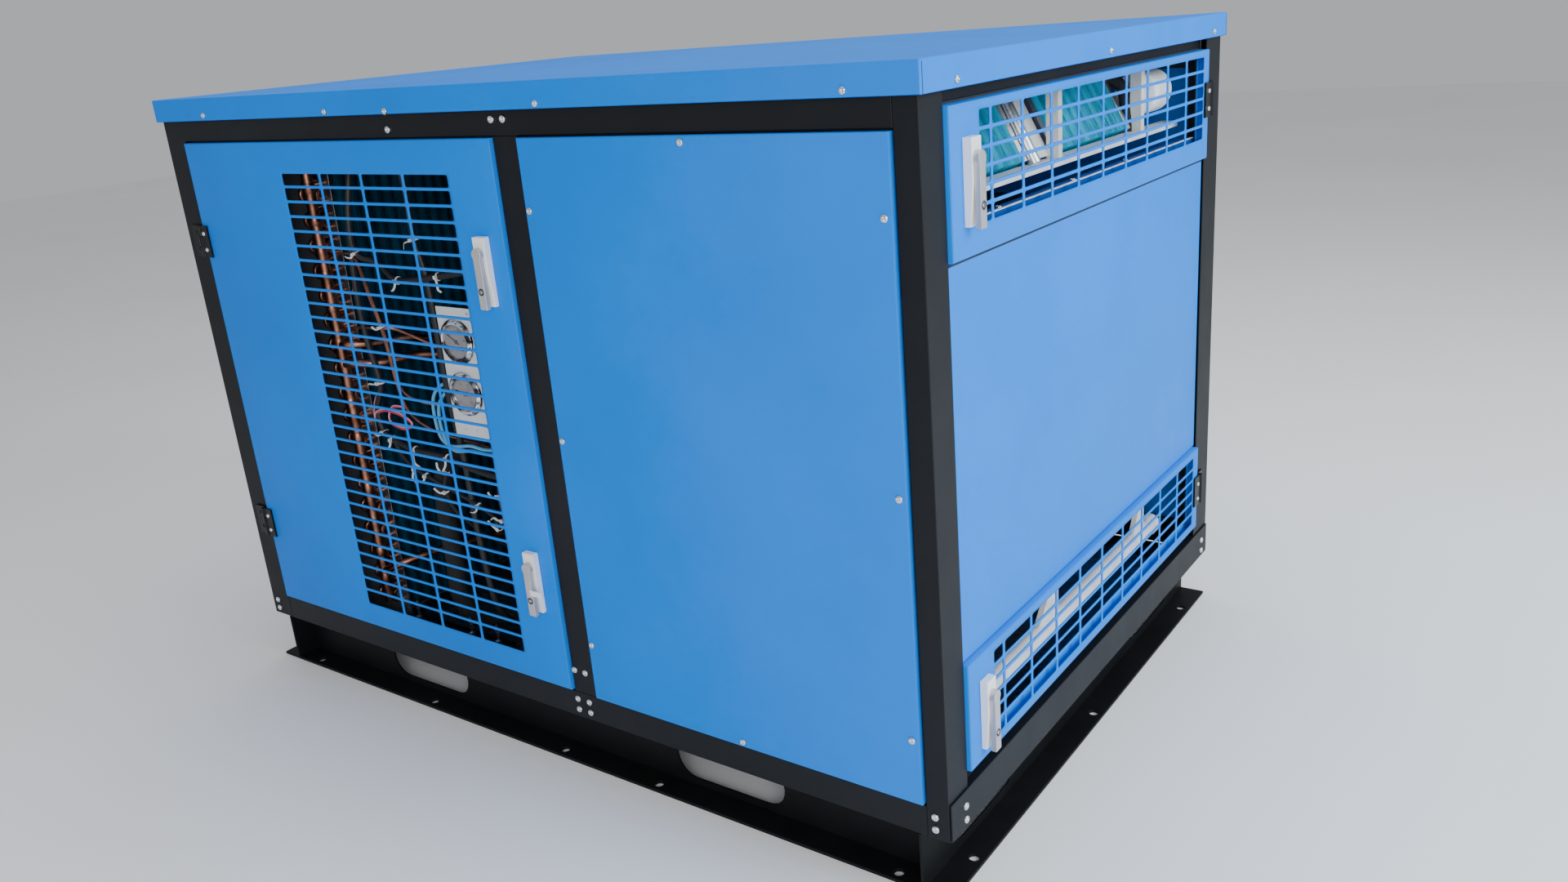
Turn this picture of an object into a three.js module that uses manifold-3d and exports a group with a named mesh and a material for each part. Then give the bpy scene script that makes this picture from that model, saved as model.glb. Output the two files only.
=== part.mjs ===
// Air-cooled refrigerated compressed-air dryer in a sheet-metal cabinet on a fork-lift skid.
// Millimetres, +Z up, the origin on the floor under the middle of the cabinet.
// The front looks towards -Y. Every face of the cabinet is built in its own turned group, where
// +X runs to the right along the face, -Y points out of the cabinet and +Z is up.

import * as THREE from 'three';
import { mergeVertices } from 'three/addons/utils/BufferGeometryUtils.js';
import Module from 'manifold-3d';

const wasm = await Module();
wasm.setup();

// ---- Driving dimensions -------------------------------------------------------------------

const GAP = 0.3;                 // clearance between touching pieces
const HALF_LENGTH = 873;         // cabinet frame, half of its X size
const HALF_DEPTH = 601;          // cabinet frame, half of its Y size
const FRAME_BOTTOM = 109;        // underside of the cabinet frame
const FASCIA_BOTTOM = 1209;      // lower edge of the roof tray
const ROOF_TOP = 1252;
const ROOF_OVERHANG = 9;
const ROOF_SHEET = 2;
const PROFILE_WALL = 3;          // folded frame profiles
const PROFILE_DEPTH = 40;
const SHEET = 2;                 // panels and doors
const TRAY_DEPTH = 20;           // folded edge of panels and doors
const PROUD = 6.5;               // panels and doors stand this far out of the frame
const SEAM = 3;                  // gap round panels and doors

// Front face, along X and Z.
const FRONT_LEFT_EDGE = -807;    // inner edge of the left corner post
const CENTRE_POST = [94, 150];
const FRONT_RIGHT_EDGE = 835;    // inner edge of the right corner post
const PANEL_BOTTOM = 166;
const PANEL_TOP = 1166;

// End faces, along Y and Z.
const END_FRONT_EDGE = -538;     // inner edge of the front corner post
const END_REAR_EDGE = 519;       // inner edge of the rear corner post
const UPPER_DOOR = [984, 1189];
const MIDDLE_PANEL = [383, 981];
const LOWER_DOOR = [199, 380];
const MIDDLE_RECESS = 10;        // the middle panel lies this far behind the doors

// Skid under the cabinet.
const SKID_INSET = 50;           // the web stands back from the cabinet outline
const SKID_WALL = 5;
const SKID_FLANGE = 6;
const SKID_TOP_FLANGE = 40;
const FORK_SLOT = { length: 240, height: 80, z: 58 };
const FORK_SPACING = { long: 405, short: 390 };
const BOLT_HOLE_RADIUS = 9;

// Latches and hinges.
const LATCH = { width: 28, height: 118, base: 13, foot: 8, lever: 8.5, boss: 11, bar: 8.5, pivot: 31 };
const LATCH_SHAFT = 6;
const CAM = { length: 28, width: 16, thick: 3 };
const HINGE = { height: 65, leaf: 4, radius: 5.5, pin: 2.5, offset: 8, rise: 8.5 };

// Inside.
const FLOOR_TOP = FRAME_BOTTOM + GAP + SHEET;
const INSIDE_FLOOR = FLOOR_TOP + GAP;
const GAUGE = { x: -121, high: 803, low: 704, radius: 42.5, dial: 34, plate: 40 };
const FAN = { x: -200, z: 640, radius: 230, hub: 55, y: 500, width: 40, blades: 5 };
const NOZZLE = { x: 410, low: 400, high: 780, pipe: 38, bore: 34, flange: 92.5, bolts: 72.5, thick: 18 };
const OUTREACH = PROUD + GAP + LATCH.base + GAP + LATCH.lever;   // furthest out of the frame

const COLOURS = {
  blue: { color: 0x3a86d0, roughness: 0.42, metalness: 0.0 },
  black: { color: 0x14181f, roughness: 0.5, metalness: 0.0 },
  zinc: { color: 0xc9cccf, roughness: 0.28, metalness: 1.0 },
  fin: { color: 0x28afcd, roughness: 0.5, metalness: 0.3 },
  white: { color: 0xe9ebe8, roughness: 0.5, metalness: 0.0 },
  foam: { color: 0x17181a, roughness: 0.9, metalness: 0.0 },
  steel: { color: 0x9a9fa5, roughness: 0.4, metalness: 0.9 },
  needle: { color: 0x101010, roughness: 0.6, metalness: 0.0 },
};

// ---- Shape helpers ------------------------------------------------------------------------

function toSolid(geometry) {
  const plain = geometry.clone();
  plain.deleteAttribute('normal');
  plain.deleteAttribute('uv');
  const merged = mergeVertices(plain, 1e-4);
  return new wasm.Manifold(new wasm.Mesh({
    numProp: 3,
    vertProperties: new Float32Array(merged.attributes.position.array),
    triVerts: new Uint32Array(merged.index.array),
  }));
}

function toGeometry(solid) {
  const mesh = solid.getMesh();
  const geometry = new THREE.BufferGeometry();
  geometry.setAttribute('position', new THREE.BufferAttribute(mesh.vertProperties, 3));
  geometry.setIndex(new THREE.BufferAttribute(mesh.triVerts, 1));
  return geometry;
}

function join(...geometries) {
  return toGeometry(geometries.map(toSolid).reduce((whole, next) => whole.add(next)));
}

function cut(geometry, ...tools) {
  return toGeometry(tools.map(toSolid).reduce((left, tool) => left.subtract(tool), toSolid(geometry)));
}

// A box between two X, two Y and two Z values.
function block([x0, x1], [y0, y1], [z0, z1]) {
  const box = new THREE.BoxGeometry(x1 - x0, y1 - y0, z1 - z0);
  return box.translate((x0 + x1) / 2, (y0 + y1) / 2, (z0 + z1) / 2);
}

function polygon(points) {
  return new THREE.Shape(points.map(([x, y]) => new THREE.Vector2(x, y)));
}

// A shape drawn as (along, up) becomes an upright sheet from y0 inwards to y1.
function upright(shape, [y0, y1], curveSegments = 8) {
  const sheet = new THREE.ExtrudeGeometry(shape, { depth: y1 - y0, bevelEnabled: false, curveSegments });
  return sheet.rotateX(Math.PI / 2).translate(0, y1, 0);
}

// A profile drawn as (y, z) is swept along X.
function sweptAlongX(profile, [x0, x1]) {
  const sweep = new THREE.ExtrudeGeometry(profile, { depth: x1 - x0, bevelEnabled: false });
  return sweep.rotateX(Math.PI / 2).rotateZ(Math.PI / 2).translate(x0, 0, 0);
}

// A plan outline drawn as (x, y) is raised from z0 to z1.
function raised(shape, [z0, z1], curveSegments = 8) {
  const prism = new THREE.ExtrudeGeometry(shape, { depth: z1 - z0, bevelEnabled: false, curveSegments });
  return prism.translate(0, 0, z0);
}

function uprightRod(radius, x, y, [z0, z1], sides = 12) {
  const rod = new THREE.CylinderGeometry(radius, radius, z1 - z0, sides);
  return rod.rotateX(Math.PI / 2).translate(x, y, (z0 + z1) / 2);
}

function depthRod(radius, x, z, [y0, y1], sides = 16) {
  const rod = new THREE.CylinderGeometry(radius, radius, y1 - y0, sides);
  return rod.translate(x, (y0 + y1) / 2, z);
}

// ---- Scene graph helpers ------------------------------------------------------------------

const dryer = new THREE.Group();

function face(turn, reach) {
  const group = new THREE.Group();
  group.rotation.z = turn;
  group.userData.reach = reach;
  dryer.add(group);
  return group;
}

// reach is the distance from the middle of the cabinet to the outside of the frame.
const front = face(0, HALF_DEPTH);
const right = face(Math.PI / 2, HALF_LENGTH);
const rear = face(Math.PI, HALF_DEPTH);
const left = face(-Math.PI / 2, HALF_LENGTH);

function add(parent, name, geometry, finish, position = [0, 0, 0]) {
  const mesh = new THREE.Mesh(geometry, new THREE.MeshStandardMaterial(COLOURS[finish]));
  mesh.name = name;
  mesh.position.set(...position);
  parent.add(mesh);
  return mesh;
}

// ---- Skid ---------------------------------------------------------------------------------

function forkSlot(x) {
  const half = FORK_SLOT.length / 2;
  const round = FORK_SLOT.height / 2;
  const slot = new THREE.Shape();
  slot.moveTo(x - half + round, FORK_SLOT.z - round);
  slot.lineTo(x + half - round, FORK_SLOT.z - round);
  slot.absarc(x + half - round, FORK_SLOT.z, round, -Math.PI / 2, Math.PI / 2);
  slot.lineTo(x - half + round, FORK_SLOT.z + round);
  slot.absarc(x - half + round, FORK_SLOT.z, round, Math.PI / 2, Math.PI * 1.5);
  return slot;
}

// A Z-section rail: a flange out along the floor, a web, and a flange in under the cabinet.
function skidRail(parent, name, halfLength, forkX, holes) {
  const outer = -parent.userData.reach;
  const web = outer + SKID_INSET;
  const top = FRAME_BOTTOM - GAP;
  const profile = polygon([
    [outer, 0], [web + SKID_WALL, 0], [web + SKID_WALL, top - SKID_WALL],
    [web + SKID_TOP_FLANGE, top - SKID_WALL], [web + SKID_TOP_FLANGE, top],
    [web, top], [web, SKID_FLANGE], [outer, SKID_FLANGE],
  ]);
  const slots = [-forkX, forkX].map((x) => upright(forkSlot(x), [web - 1, web + SKID_WALL + 1], 6));
  const bolts = holes.map(([x, y]) => uprightRod(BOLT_HOLE_RADIUS, x, outer + y, [-1, SKID_FLANGE + 1]));
  const rail = cut(sweptAlongX(profile, [-halfLength, halfLength]), ...slots, ...bolts);
  add(parent, name, rail, 'black');
}

const LONG_RAIL_HALF = HALF_LENGTH - SKID_INSET - SKID_WALL - GAP;
const LONG_RAIL_HOLES = [-756, -363, 23, 262, 768].map((x) => [x, 17]);
const END_RAIL_HOLES = [-492, 5, 501].map((x) => [x, 18]);

skidRail(front, 'skid_rail_front', LONG_RAIL_HALF, FORK_SPACING.long, LONG_RAIL_HOLES);
skidRail(rear, 'skid_rail_rear', LONG_RAIL_HALF, FORK_SPACING.long, LONG_RAIL_HOLES);

// The end rails run through to the corners, with their top flange cut back for the long rails.
function endSkidRail(parent, name) {
  const outer = -parent.userData.reach;
  const web = outer + SKID_INSET;
  const top = FRAME_BOTTOM - GAP;
  const flange = block([-HALF_DEPTH, HALF_DEPTH], [outer, web + SKID_WALL], [0, SKID_FLANGE]);
  const wall = block([-HALF_DEPTH, HALF_DEPTH], [web, web + SKID_WALL], [SKID_FLANGE - 1, top]);
  const slots = [-1, 1].map((side) =>
    upright(forkSlot(side * FORK_SPACING.short), [web - 1, web + SKID_WALL + 1], 6));
  const bolts = END_RAIL_HOLES.map(([x, y]) =>
    uprightRod(BOLT_HOLE_RADIUS, x, outer + y, [-1, SKID_FLANGE + 1]));
  add(parent, name, cut(join(flange, wall), ...slots, ...bolts), 'black');
}

endSkidRail(right, 'skid_rail_right');
endSkidRail(left, 'skid_rail_left');

add(dryer, 'floor_pan', block([-850, 850], [-590, 590], [FRAME_BOTTOM + GAP, FLOOR_TOP]), 'steel');

// ---- Cabinet frame ------------------------------------------------------------------------

const POST_SPAN = [FRAME_BOTTOM + GAP, ROOF_TOP - ROOF_SHEET - GAP];

// An angle profile: legs along X and Y from the outer corner, both given with their sign.
function cornerPost(name, cornerX, cornerY, legX, legY) {
  const wallX = Math.sign(legX) * PROFILE_WALL;
  const wallY = Math.sign(legY) * PROFILE_WALL;
  const outline = polygon([
    [0, 0], [legX, 0], [legX, wallY], [wallX, wallY], [wallX, legY], [0, legY],
  ]);
  add(dryer, name, raised(outline, POST_SPAN), 'black', [cornerX, cornerY, 0]);
}

const LEFT_LEG = FRONT_LEFT_EDGE + HALF_LENGTH;
const RIGHT_LEG = HALF_LENGTH - FRONT_RIGHT_EDGE;
const FRONT_SIDE_LEG = END_FRONT_EDGE + HALF_DEPTH;
const REAR_SIDE_LEG = HALF_DEPTH - END_REAR_EDGE;
cornerPost('corner_post_front_left', -HALF_LENGTH, -HALF_DEPTH, LEFT_LEG, FRONT_SIDE_LEG);
cornerPost('corner_post_front_right', HALF_LENGTH, -HALF_DEPTH, -RIGHT_LEG, FRONT_SIDE_LEG);
cornerPost('corner_post_rear_left', -HALF_LENGTH, HALF_DEPTH, LEFT_LEG, -REAR_SIDE_LEG);
cornerPost('corner_post_rear_right', HALF_LENGTH, HALF_DEPTH, -RIGHT_LEG, -REAR_SIDE_LEG);

// Long beams between the corner posts, with a flange folded in at the opening's edge.
function longBeam(parent, name, [x0, x1], [z0, z1], flangeZ) {
  const outer = -parent.userData.reach;
  const plate = block([x0 + GAP, x1 - GAP], [outer, outer + PROFILE_WALL], [z0, z1]);
  const flange = block([x0 + GAP, x1 - GAP], [outer, outer + PROFILE_DEPTH], flangeZ);
  add(parent, name, join(plate, flange), 'black');
}

const BOTTOM_BEAM_TOP = PANEL_BOTTOM - SEAM;
const TOP_BEAM_BOTTOM = PANEL_TOP + SEAM;
const BOTTOM_BEAM_Z = [FRAME_BOTTOM + GAP, BOTTOM_BEAM_TOP];
const TOP_BEAM_Z = [TOP_BEAM_BOTTOM, POST_SPAN[1]];
const BOTTOM_FLANGE_Z = [BOTTOM_BEAM_TOP - PROFILE_WALL, BOTTOM_BEAM_TOP];
const TOP_FLANGE_Z = [TOP_BEAM_BOTTOM, TOP_BEAM_BOTTOM + PROFILE_WALL];
const FRONT_SPAN = [FRONT_LEFT_EDGE, FRONT_RIGHT_EDGE];
const REAR_SPAN = [-FRONT_RIGHT_EDGE, -FRONT_LEFT_EDGE];
longBeam(front, 'bottom_beam_front', FRONT_SPAN, BOTTOM_BEAM_Z, BOTTOM_FLANGE_Z);
longBeam(rear, 'bottom_beam_rear', REAR_SPAN, BOTTOM_BEAM_Z, BOTTOM_FLANGE_Z);
longBeam(front, 'top_beam_front', FRONT_SPAN, TOP_BEAM_Z, TOP_FLANGE_Z);
longBeam(rear, 'top_beam_rear', REAR_SPAN, TOP_BEAM_Z, TOP_FLANGE_Z);

// A channel open to the inside, between the beams.
function centrePost(parent, name, [x0, x1]) {
  const outer = -parent.userData.reach;
  const outline = polygon([
    [x0, outer], [x1, outer], [x1, outer + PROFILE_DEPTH], [x1 - PROFILE_WALL, outer + PROFILE_DEPTH],
    [x1 - PROFILE_WALL, outer + PROFILE_WALL], [x0 + PROFILE_WALL, outer + PROFILE_WALL],
    [x0 + PROFILE_WALL, outer + PROFILE_DEPTH], [x0, outer + PROFILE_DEPTH],
  ]);
  add(parent, name, raised(outline, [BOTTOM_BEAM_TOP + GAP, TOP_BEAM_BOTTOM - GAP]), 'black');
}

centrePost(front, 'centre_post_front', CENTRE_POST);
centrePost(rear, 'centre_post_rear', [-CENTRE_POST[1], -CENTRE_POST[0]]);

// End beams. The bottom one laps over the corner posts and carries a set-back sill.
const LAP_TOP = 174;
const SILL = { top: 196, back: 15 };
const END_TOP_BEAM = { bottom: 1192, back: 13 };

// Along an end face the front post is on the left or on the right, as `sign` says.
function endSpan(sign) {
  return sign > 0 ? [END_FRONT_EDGE, END_REAR_EDGE] : [-END_REAR_EDGE, -END_FRONT_EDGE];
}

function endBottomBeam(parent, name, sign) {
  const outer = -parent.userData.reach;
  const [x0, x1] = endSpan(sign);
  const lapEdge = HALF_DEPTH - PROFILE_WALL;
  const lap = block([-lapEdge, lapEdge], [outer - GAP - PROFILE_WALL, outer - GAP], [FRAME_BOTTOM, LAP_TOP]);
  const inner = [x0 + GAP, x1 - GAP];
  const step = block(inner, [outer - GAP - PROFILE_WALL, outer + SILL.back], [LAP_TOP - PROFILE_WALL, LAP_TOP]);
  const sill = block(inner, [outer + SILL.back - PROFILE_WALL, outer + SILL.back], [LAP_TOP - 1, SILL.top]);
  add(parent, name, join(lap, step, sill), 'black');
}

function endTopBeam(parent, name, sign) {
  const back = -parent.userData.reach + END_TOP_BEAM.back;
  const [x0, x1] = endSpan(sign);
  const z = END_TOP_BEAM.bottom;
  const plate = block([x0 + GAP, x1 - GAP], [back, back + PROFILE_WALL], [z, POST_SPAN[1]]);
  const flange = block([x0 + GAP, x1 - GAP], [back, back + PROFILE_DEPTH], [z, z + PROFILE_WALL]);
  add(parent, name, join(plate, flange), 'black');
}

endBottomBeam(right, 'bottom_beam_right', 1);
endBottomBeam(left, 'bottom_beam_left', -1);
endTopBeam(right, 'top_beam_right', 1);
endTopBeam(left, 'top_beam_left', -1);

// The roof is a tray turned upside down over the frame.
function roof() {
  const x = HALF_LENGTH + ROOF_OVERHANG;
  const y = HALF_DEPTH + ROOF_OVERHANG;
  const tray = block([-x, x], [-y, y], [FASCIA_BOTTOM, ROOF_TOP]);
  const hollow = block([-x + ROOF_SHEET, x - ROOF_SHEET], [-y + ROOF_SHEET, y - ROOF_SHEET],
    [FASCIA_BOTTOM - 1, ROOF_TOP - ROOF_SHEET]);
  add(dryer, 'roof_cover', cut(tray, hollow), 'blue');
}

roof();

// ---- Panels and doors ---------------------------------------------------------------------

// Cuts between bars: the openings left between two edges by the bars in that stretch.
function openings([start, end], bars, barWidth) {
  const edges = [start, ...bars.flatMap((bar) => [bar - barWidth / 2, bar + barWidth / 2]), end];
  const pairs = [];
  for (let i = 0; i < edges.length; i += 2) pairs.push([edges[i], edges[i + 1]]);
  return pairs;
}

function spaced(first, pitch, count) {
  return Array.from({ length: count }, (_, i) => first + i * pitch);
}

// A sheet-metal tray, open to the inside, with punched slots and round holes in its skin.
function tray(parent, [x0, x1], [z0, z1], proud, { slots = [], rounds = [] } = {}) {
  const outer = -parent.userData.reach - proud;
  const inner = outer + TRAY_DEPTH;
  const through = [outer - 1, inner + 1];
  const hollow = block([x0 + SHEET, x1 - SHEET], [outer + SHEET, inner + 1], [z0 + SHEET, z1 - SHEET]);
  const punches = slots.map(([x, z]) => block(x, through, z));
  const drills = rounds.map(([x, z, radius]) => depthRod(radius, x, z, through, 16));
  return cut(block([x0, x1], [outer, inner], [z0, z1]), hollow, ...punches, ...drills);
}

function grid(columns, rows) {
  return columns.flatMap((x) => rows.map((z) => [x, z]));
}

const FRONT_GRILLE = {
  columns: openings([-492, -23], [-376, -256, -140], 6),
  rows: openings([217, 1108], spaced(249.8, 27.8, 31), 5),
};
const UPPER_GRILLE_ROWS = openings([1024, 1176], spaced(1049, 25.4, 5), 5);
const LOWER_GRILLE_ROWS = openings([216, 366], spaced(241, 25, 5), 5);
const END_BARS = spaced(-416, 100.3, 9);
const END_COLUMNS = openings([-451, 486], END_BARS, 6);
const LATCH_HOLE = LATCH_SHAFT + 1;
const FRONT_LATCH = { x: 43, heights: [949, 379] };
const END_LATCH = { x: -487, heights: [1086, 280] };

const DOOR_SPAN = [FRONT_LEFT_EDGE + SEAM, CENTRE_POST[0] - SEAM];
const FIXED_SPAN = [CENTRE_POST[1] + SEAM, FRONT_RIGHT_EDGE - SEAM];
const PANEL_Z = [PANEL_BOTTOM, PANEL_TOP];

add(front, 'front_door', tray(front, DOOR_SPAN, PANEL_Z, PROUD, {
  slots: grid(FRONT_GRILLE.columns, FRONT_GRILLE.rows),
  rounds: FRONT_LATCH.heights.map((z) => [FRONT_LATCH.x, z + LATCH.pivot, LATCH_HOLE]),
}), 'blue');
add(front, 'front_fixed_panel', tray(front, FIXED_SPAN, PANEL_Z, PROUD), 'blue');

const END_SPAN = [END_FRONT_EDGE + SEAM, END_REAR_EDGE - SEAM];

function endDoor(name, z, rows, latchZ) {
  add(right, name, tray(right, END_SPAN, z, PROUD, {
    slots: grid(END_COLUMNS, rows),
    rounds: [[END_LATCH.x, latchZ + LATCH.pivot, LATCH_HOLE]],
  }), 'blue');
}

endDoor('upper_end_door', UPPER_DOOR, UPPER_GRILLE_ROWS, END_LATCH.heights[0]);
endDoor('lower_end_door', LOWER_DOOR, LOWER_GRILLE_ROWS, END_LATCH.heights[1]);
add(right, 'middle_end_panel', tray(right, END_SPAN, MIDDLE_PANEL, PROUD - MIDDLE_RECESS), 'blue');

const GLAND = { y: 420, z: 240, radius: 16 };
add(left, 'left_end_panel', tray(left, [-END_SPAN[1], -END_SPAN[0]], [LOWER_DOOR[0], UPPER_DOOR[1]], PROUD, {
  slots: grid(END_COLUMNS.map(([x0, x1]) => [-x1, -x0]), UPPER_GRILLE_ROWS),
  rounds: [[-GLAND.y, GLAND.z, GLAND.radius + 1]],
}), 'blue');

const FAN_GRILLE = {
  columns: openings([-FAN.x - 235, -FAN.x + 235], spaced(-FAN.x - 117.5, 117.5, 3), 6),
  rows: openings([FAN.z - 240, FAN.z + 240], spaced(FAN.z - 210, 30, 15), 5),
};
add(rear, 'rear_fan_panel', tray(rear, [-DOOR_SPAN[1], -DOOR_SPAN[0]], PANEL_Z, PROUD, {
  slots: grid(FAN_GRILLE.columns, FAN_GRILLE.rows),
}), 'blue');
add(rear, 'rear_pipe_panel', tray(rear, [-FIXED_SPAN[1], -FIXED_SPAN[0]], PANEL_Z, PROUD, {
  rounds: [NOZZLE.low, NOZZLE.high].map((z) => [-NOZZLE.x, z, NOZZLE.pipe + 4]),
}), 'blue');

// ---- Latches ------------------------------------------------------------------------------

// A latch on a door: a wedge-shaped base, and a lever that turns with its shaft and cam.
// `towards` is +1 where the cam points along +X of the face at rest, -1 where along -X.
function latch(parent, label, x, z, towards) {
  const skin = -parent.userData.reach - PROUD;
  const seat = skin - GAP;
  const half = LATCH.height / 2;
  const wedge = polygon([
    [seat, z - half], [seat, z + half], [seat - LATCH.base, z + half],
    [seat - LATCH.base, z], [seat - LATCH.foot, z - half],
  ]);
  const halfWidth = LATCH.width / 2;
  const pivotZ = z + LATCH.pivot;
  const bore = depthRod(LATCH_SHAFT + 0.6, x, pivotZ, [seat - LATCH.base - 1, seat + 1]);
  add(parent, `${label}_base`, cut(sweptAlongX(wedge, [x - halfWidth, x + halfWidth]), bore), 'zinc');

  const leverBack = seat - LATCH.base - GAP;
  const leverFace = leverBack - LATCH.lever;
  const bar = new THREE.Shape();
  const barHalf = LATCH.bar;
  const barEnd = z - half - 3;
  const shoulder = Math.sqrt(LATCH.boss ** 2 - barHalf ** 2);
  const shoulderAngle = Math.atan2(-shoulder, barHalf);
  bar.moveTo(x - barHalf, barEnd);
  bar.lineTo(x + barHalf, barEnd);
  bar.lineTo(x + barHalf, pivotZ - shoulder);
  bar.absarc(x, pivotZ, LATCH.boss, shoulderAngle, Math.PI - shoulderAngle);
  bar.closePath();
  const camBack = skin + TRAY_DEPTH + 3;
  const shaft = depthRod(LATCH_SHAFT, x, pivotZ, [leverFace + 2, camBack + CAM.thick]);
  const camEnds = [x - towards * CAM.width / 2, x + towards * CAM.length].sort((a, b) => a - b);
  const cam = block(camEnds, [camBack, camBack + CAM.thick],
    [pivotZ - CAM.width / 2, pivotZ + CAM.width / 2]);
  const lever = join(upright(bar, [leverFace, leverBack], 8), shaft, cam);
  add(parent, `${label}_lever`, lever, 'zinc');
}

latch(front, 'front_upper_latch', FRONT_LATCH.x, FRONT_LATCH.heights[0], 1);
latch(front, 'front_lower_latch', FRONT_LATCH.x, FRONT_LATCH.heights[1], 1);
latch(right, 'upper_end_latch', END_LATCH.x, END_LATCH.heights[0], -1);
latch(right, 'lower_end_latch', END_LATCH.x, END_LATCH.heights[1], -1);

// ---- Hinges -------------------------------------------------------------------------------

// A three-knuckle hinge beside a door's edge. `side` is +1 where the door lies towards +X.
function hinge(parent, label, doorEdge, z, side, [frameReach, doorReach]) {
  const surface = -parent.userData.reach;
  const x = doorEdge - side * HINGE.offset;
  const y = surface - HINGE.rise;
  const half = HINGE.height / 2;
  const third = HINGE.height / 6;
  const ordered = (a, b) => [Math.min(a, b), Math.max(a, b)];
  const clear = HINGE.radius + 0.7;

  const frameY = [surface - GAP - HINGE.leaf, surface - GAP];
  const plate = block(ordered(x - side * clear, x - side * frameReach), frameY, [z - half, z + half]);
  const ends = [[z - half, z - third], [z + third, z + half]];
  const tabs = ends.map((span) => block(ordered(x, x - side * (clear + 1)), frameY, span));
  const knuckles = ends.map((span) => uprightRod(HINGE.radius, x, y, span));
  const pin = uprightRod(HINGE.pin, x, y, [z - half, z + half], 8);
  add(parent, `${label}_frame_leaf`, join(plate, ...tabs, ...knuckles, pin), 'black');

  const doorY = [surface - PROUD - GAP - HINGE.leaf, surface - PROUD - GAP];
  const leaf = block(ordered(x + side * clear, x + side * doorReach), doorY, [z - half, z + half]);
  const middle = [z - third + GAP, z + third - GAP];
  const tab = block(ordered(x, x + side * (clear + 1)), doorY, middle);
  const sleeve = uprightRod(HINGE.radius, x, y, middle);
  const bore = uprightRod(HINGE.pin + GAP, x, y, [z - half, z + half], 8);
  add(parent, `${label}_door_leaf`, cut(join(leaf, tab, sleeve), bore), 'black');
}

hinge(front, 'front_upper_hinge', DOOR_SPAN[0], 970, 1, [38, 28]);
hinge(front, 'front_lower_hinge', DOOR_SPAN[0], 348, 1, [38, 28]);
hinge(right, 'upper_end_hinge', END_SPAN[1], 1096, -1, [30, 36]);
hinge(right, 'lower_end_hinge', END_SPAN[1], 286, -1, [30, 36]);

// ---- Pressure gauges behind the door grille -----------------------------------------------

const PLATE_BACK = -HALF_DEPTH + GAUGE.plate;
const GAUGE_HEIGHTS = { high_side: GAUGE.high, low_side: GAUGE.low };

function gaugePanel() {
  const plate = block([-168, -74], [PLATE_BACK - SHEET, PLATE_BACK], [617, 866]);
  const arm = block([-80, CENTRE_POST[0] - GAP], [PLATE_BACK - SHEET, PLATE_BACK], [720, 760]);
  const bodies = Object.values(GAUGE_HEIGHTS).map((z) =>
    depthRod(GAUGE.dial - 1, GAUGE.x, z, [PLATE_BACK - 9, PLATE_BACK + 9], 16));
  add(dryer, 'gauge_panel', cut(join(plate, arm), ...bodies), 'white');
}

gaugePanel();

// A gauge case is a cup with a flange on the plate; the needle turns just above its dial.
function gauge(label, z, reading) {
  const faceY = PLATE_BACK - SHEET - GAP;
  const cup = [
    [0, 26], [GAUGE.dial - 2, 26], [GAUGE.dial - 2, 0], [GAUGE.radius, 0],
    [GAUGE.radius, -4], [GAUGE.radius - 4, -8], [GAUGE.dial - 1, -8], [GAUGE.dial - 4, -2], [0, -2],
  ].map(([r, y]) => new THREE.Vector2(r, y));
  const body = new THREE.LatheGeometry(cup.reverse(), 18);
  add(dryer, `${label}_gauge`, body, 'zinc', [GAUGE.x, faceY, z]);

  const hubY = -2 - GAP - 1.5;
  const hub = depthRod(4, 0, 0, [hubY, hubY + 1.5], 8);
  const pointer = block([-1.2, 1.2], [hubY, hubY + 1], [-8, 24]);
  const needle = add(dryer, `${label}_needle`, join(hub, pointer), 'needle', [GAUGE.x, faceY, z]);
  needle.rotation.y = reading;
}

gauge('high_side', GAUGE.high, THREE.MathUtils.degToRad(-60));
gauge('low_side', GAUGE.low, THREE.MathUtils.degToRad(-75));

// ---- Refrigeration and air side -----------------------------------------------------------

// The condenser slab stands from front to rear, its tube ends towards the front door.
function condenser() {
  const x = [-585, -500];
  const fins = block([x[0] + 4, x[1] - 4], [-500, 480], [160, 1120]);
  const endPlates = [[-504, -500], [480, 484]].map((y) => block(x, y, [INSIDE_FLOOR, 1124]));
  const shelf = block(x, [-504, 484], [156, 160]);
  const lid = block(x, [-504, 484], [1120, 1124]);
  add(dryer, 'condenser_coil', join(fins, ...endPlates, shelf, lid), 'fin');
}

condenser();

// Two small leaning coils behind the upper end door, with their ledge.
const END_COIL = { x: 800, z: 1066, height: 128, thick: 36, lean: 28 };

function endCoil(name, [y0, y1]) {
  const slab = block([-END_COIL.thick, 0], [y0, y1], [0, END_COIL.height]);
  const coil = add(dryer, name, slab, 'fin', [END_COIL.x, 0, END_COIL.z]);
  coil.rotation.y = -THREE.MathUtils.degToRad(END_COIL.lean);
}

endCoil('end_coil_front', [-420, -130]);
endCoil('end_coil_rear', [-30, 315]);

const LEDGE_TOP = END_COIL.z - 8;
const ledgeSolid = block([790, 822], [-530, 510], [LEDGE_TOP - 3, LEDGE_TOP]);
const ledgeLip = block([819, 822], [-530, 510], [LEDGE_TOP - 11, LEDGE_TOP]);
add(dryer, 'coil_ledge', join(ledgeSolid, ledgeLip), 'steel');

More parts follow.
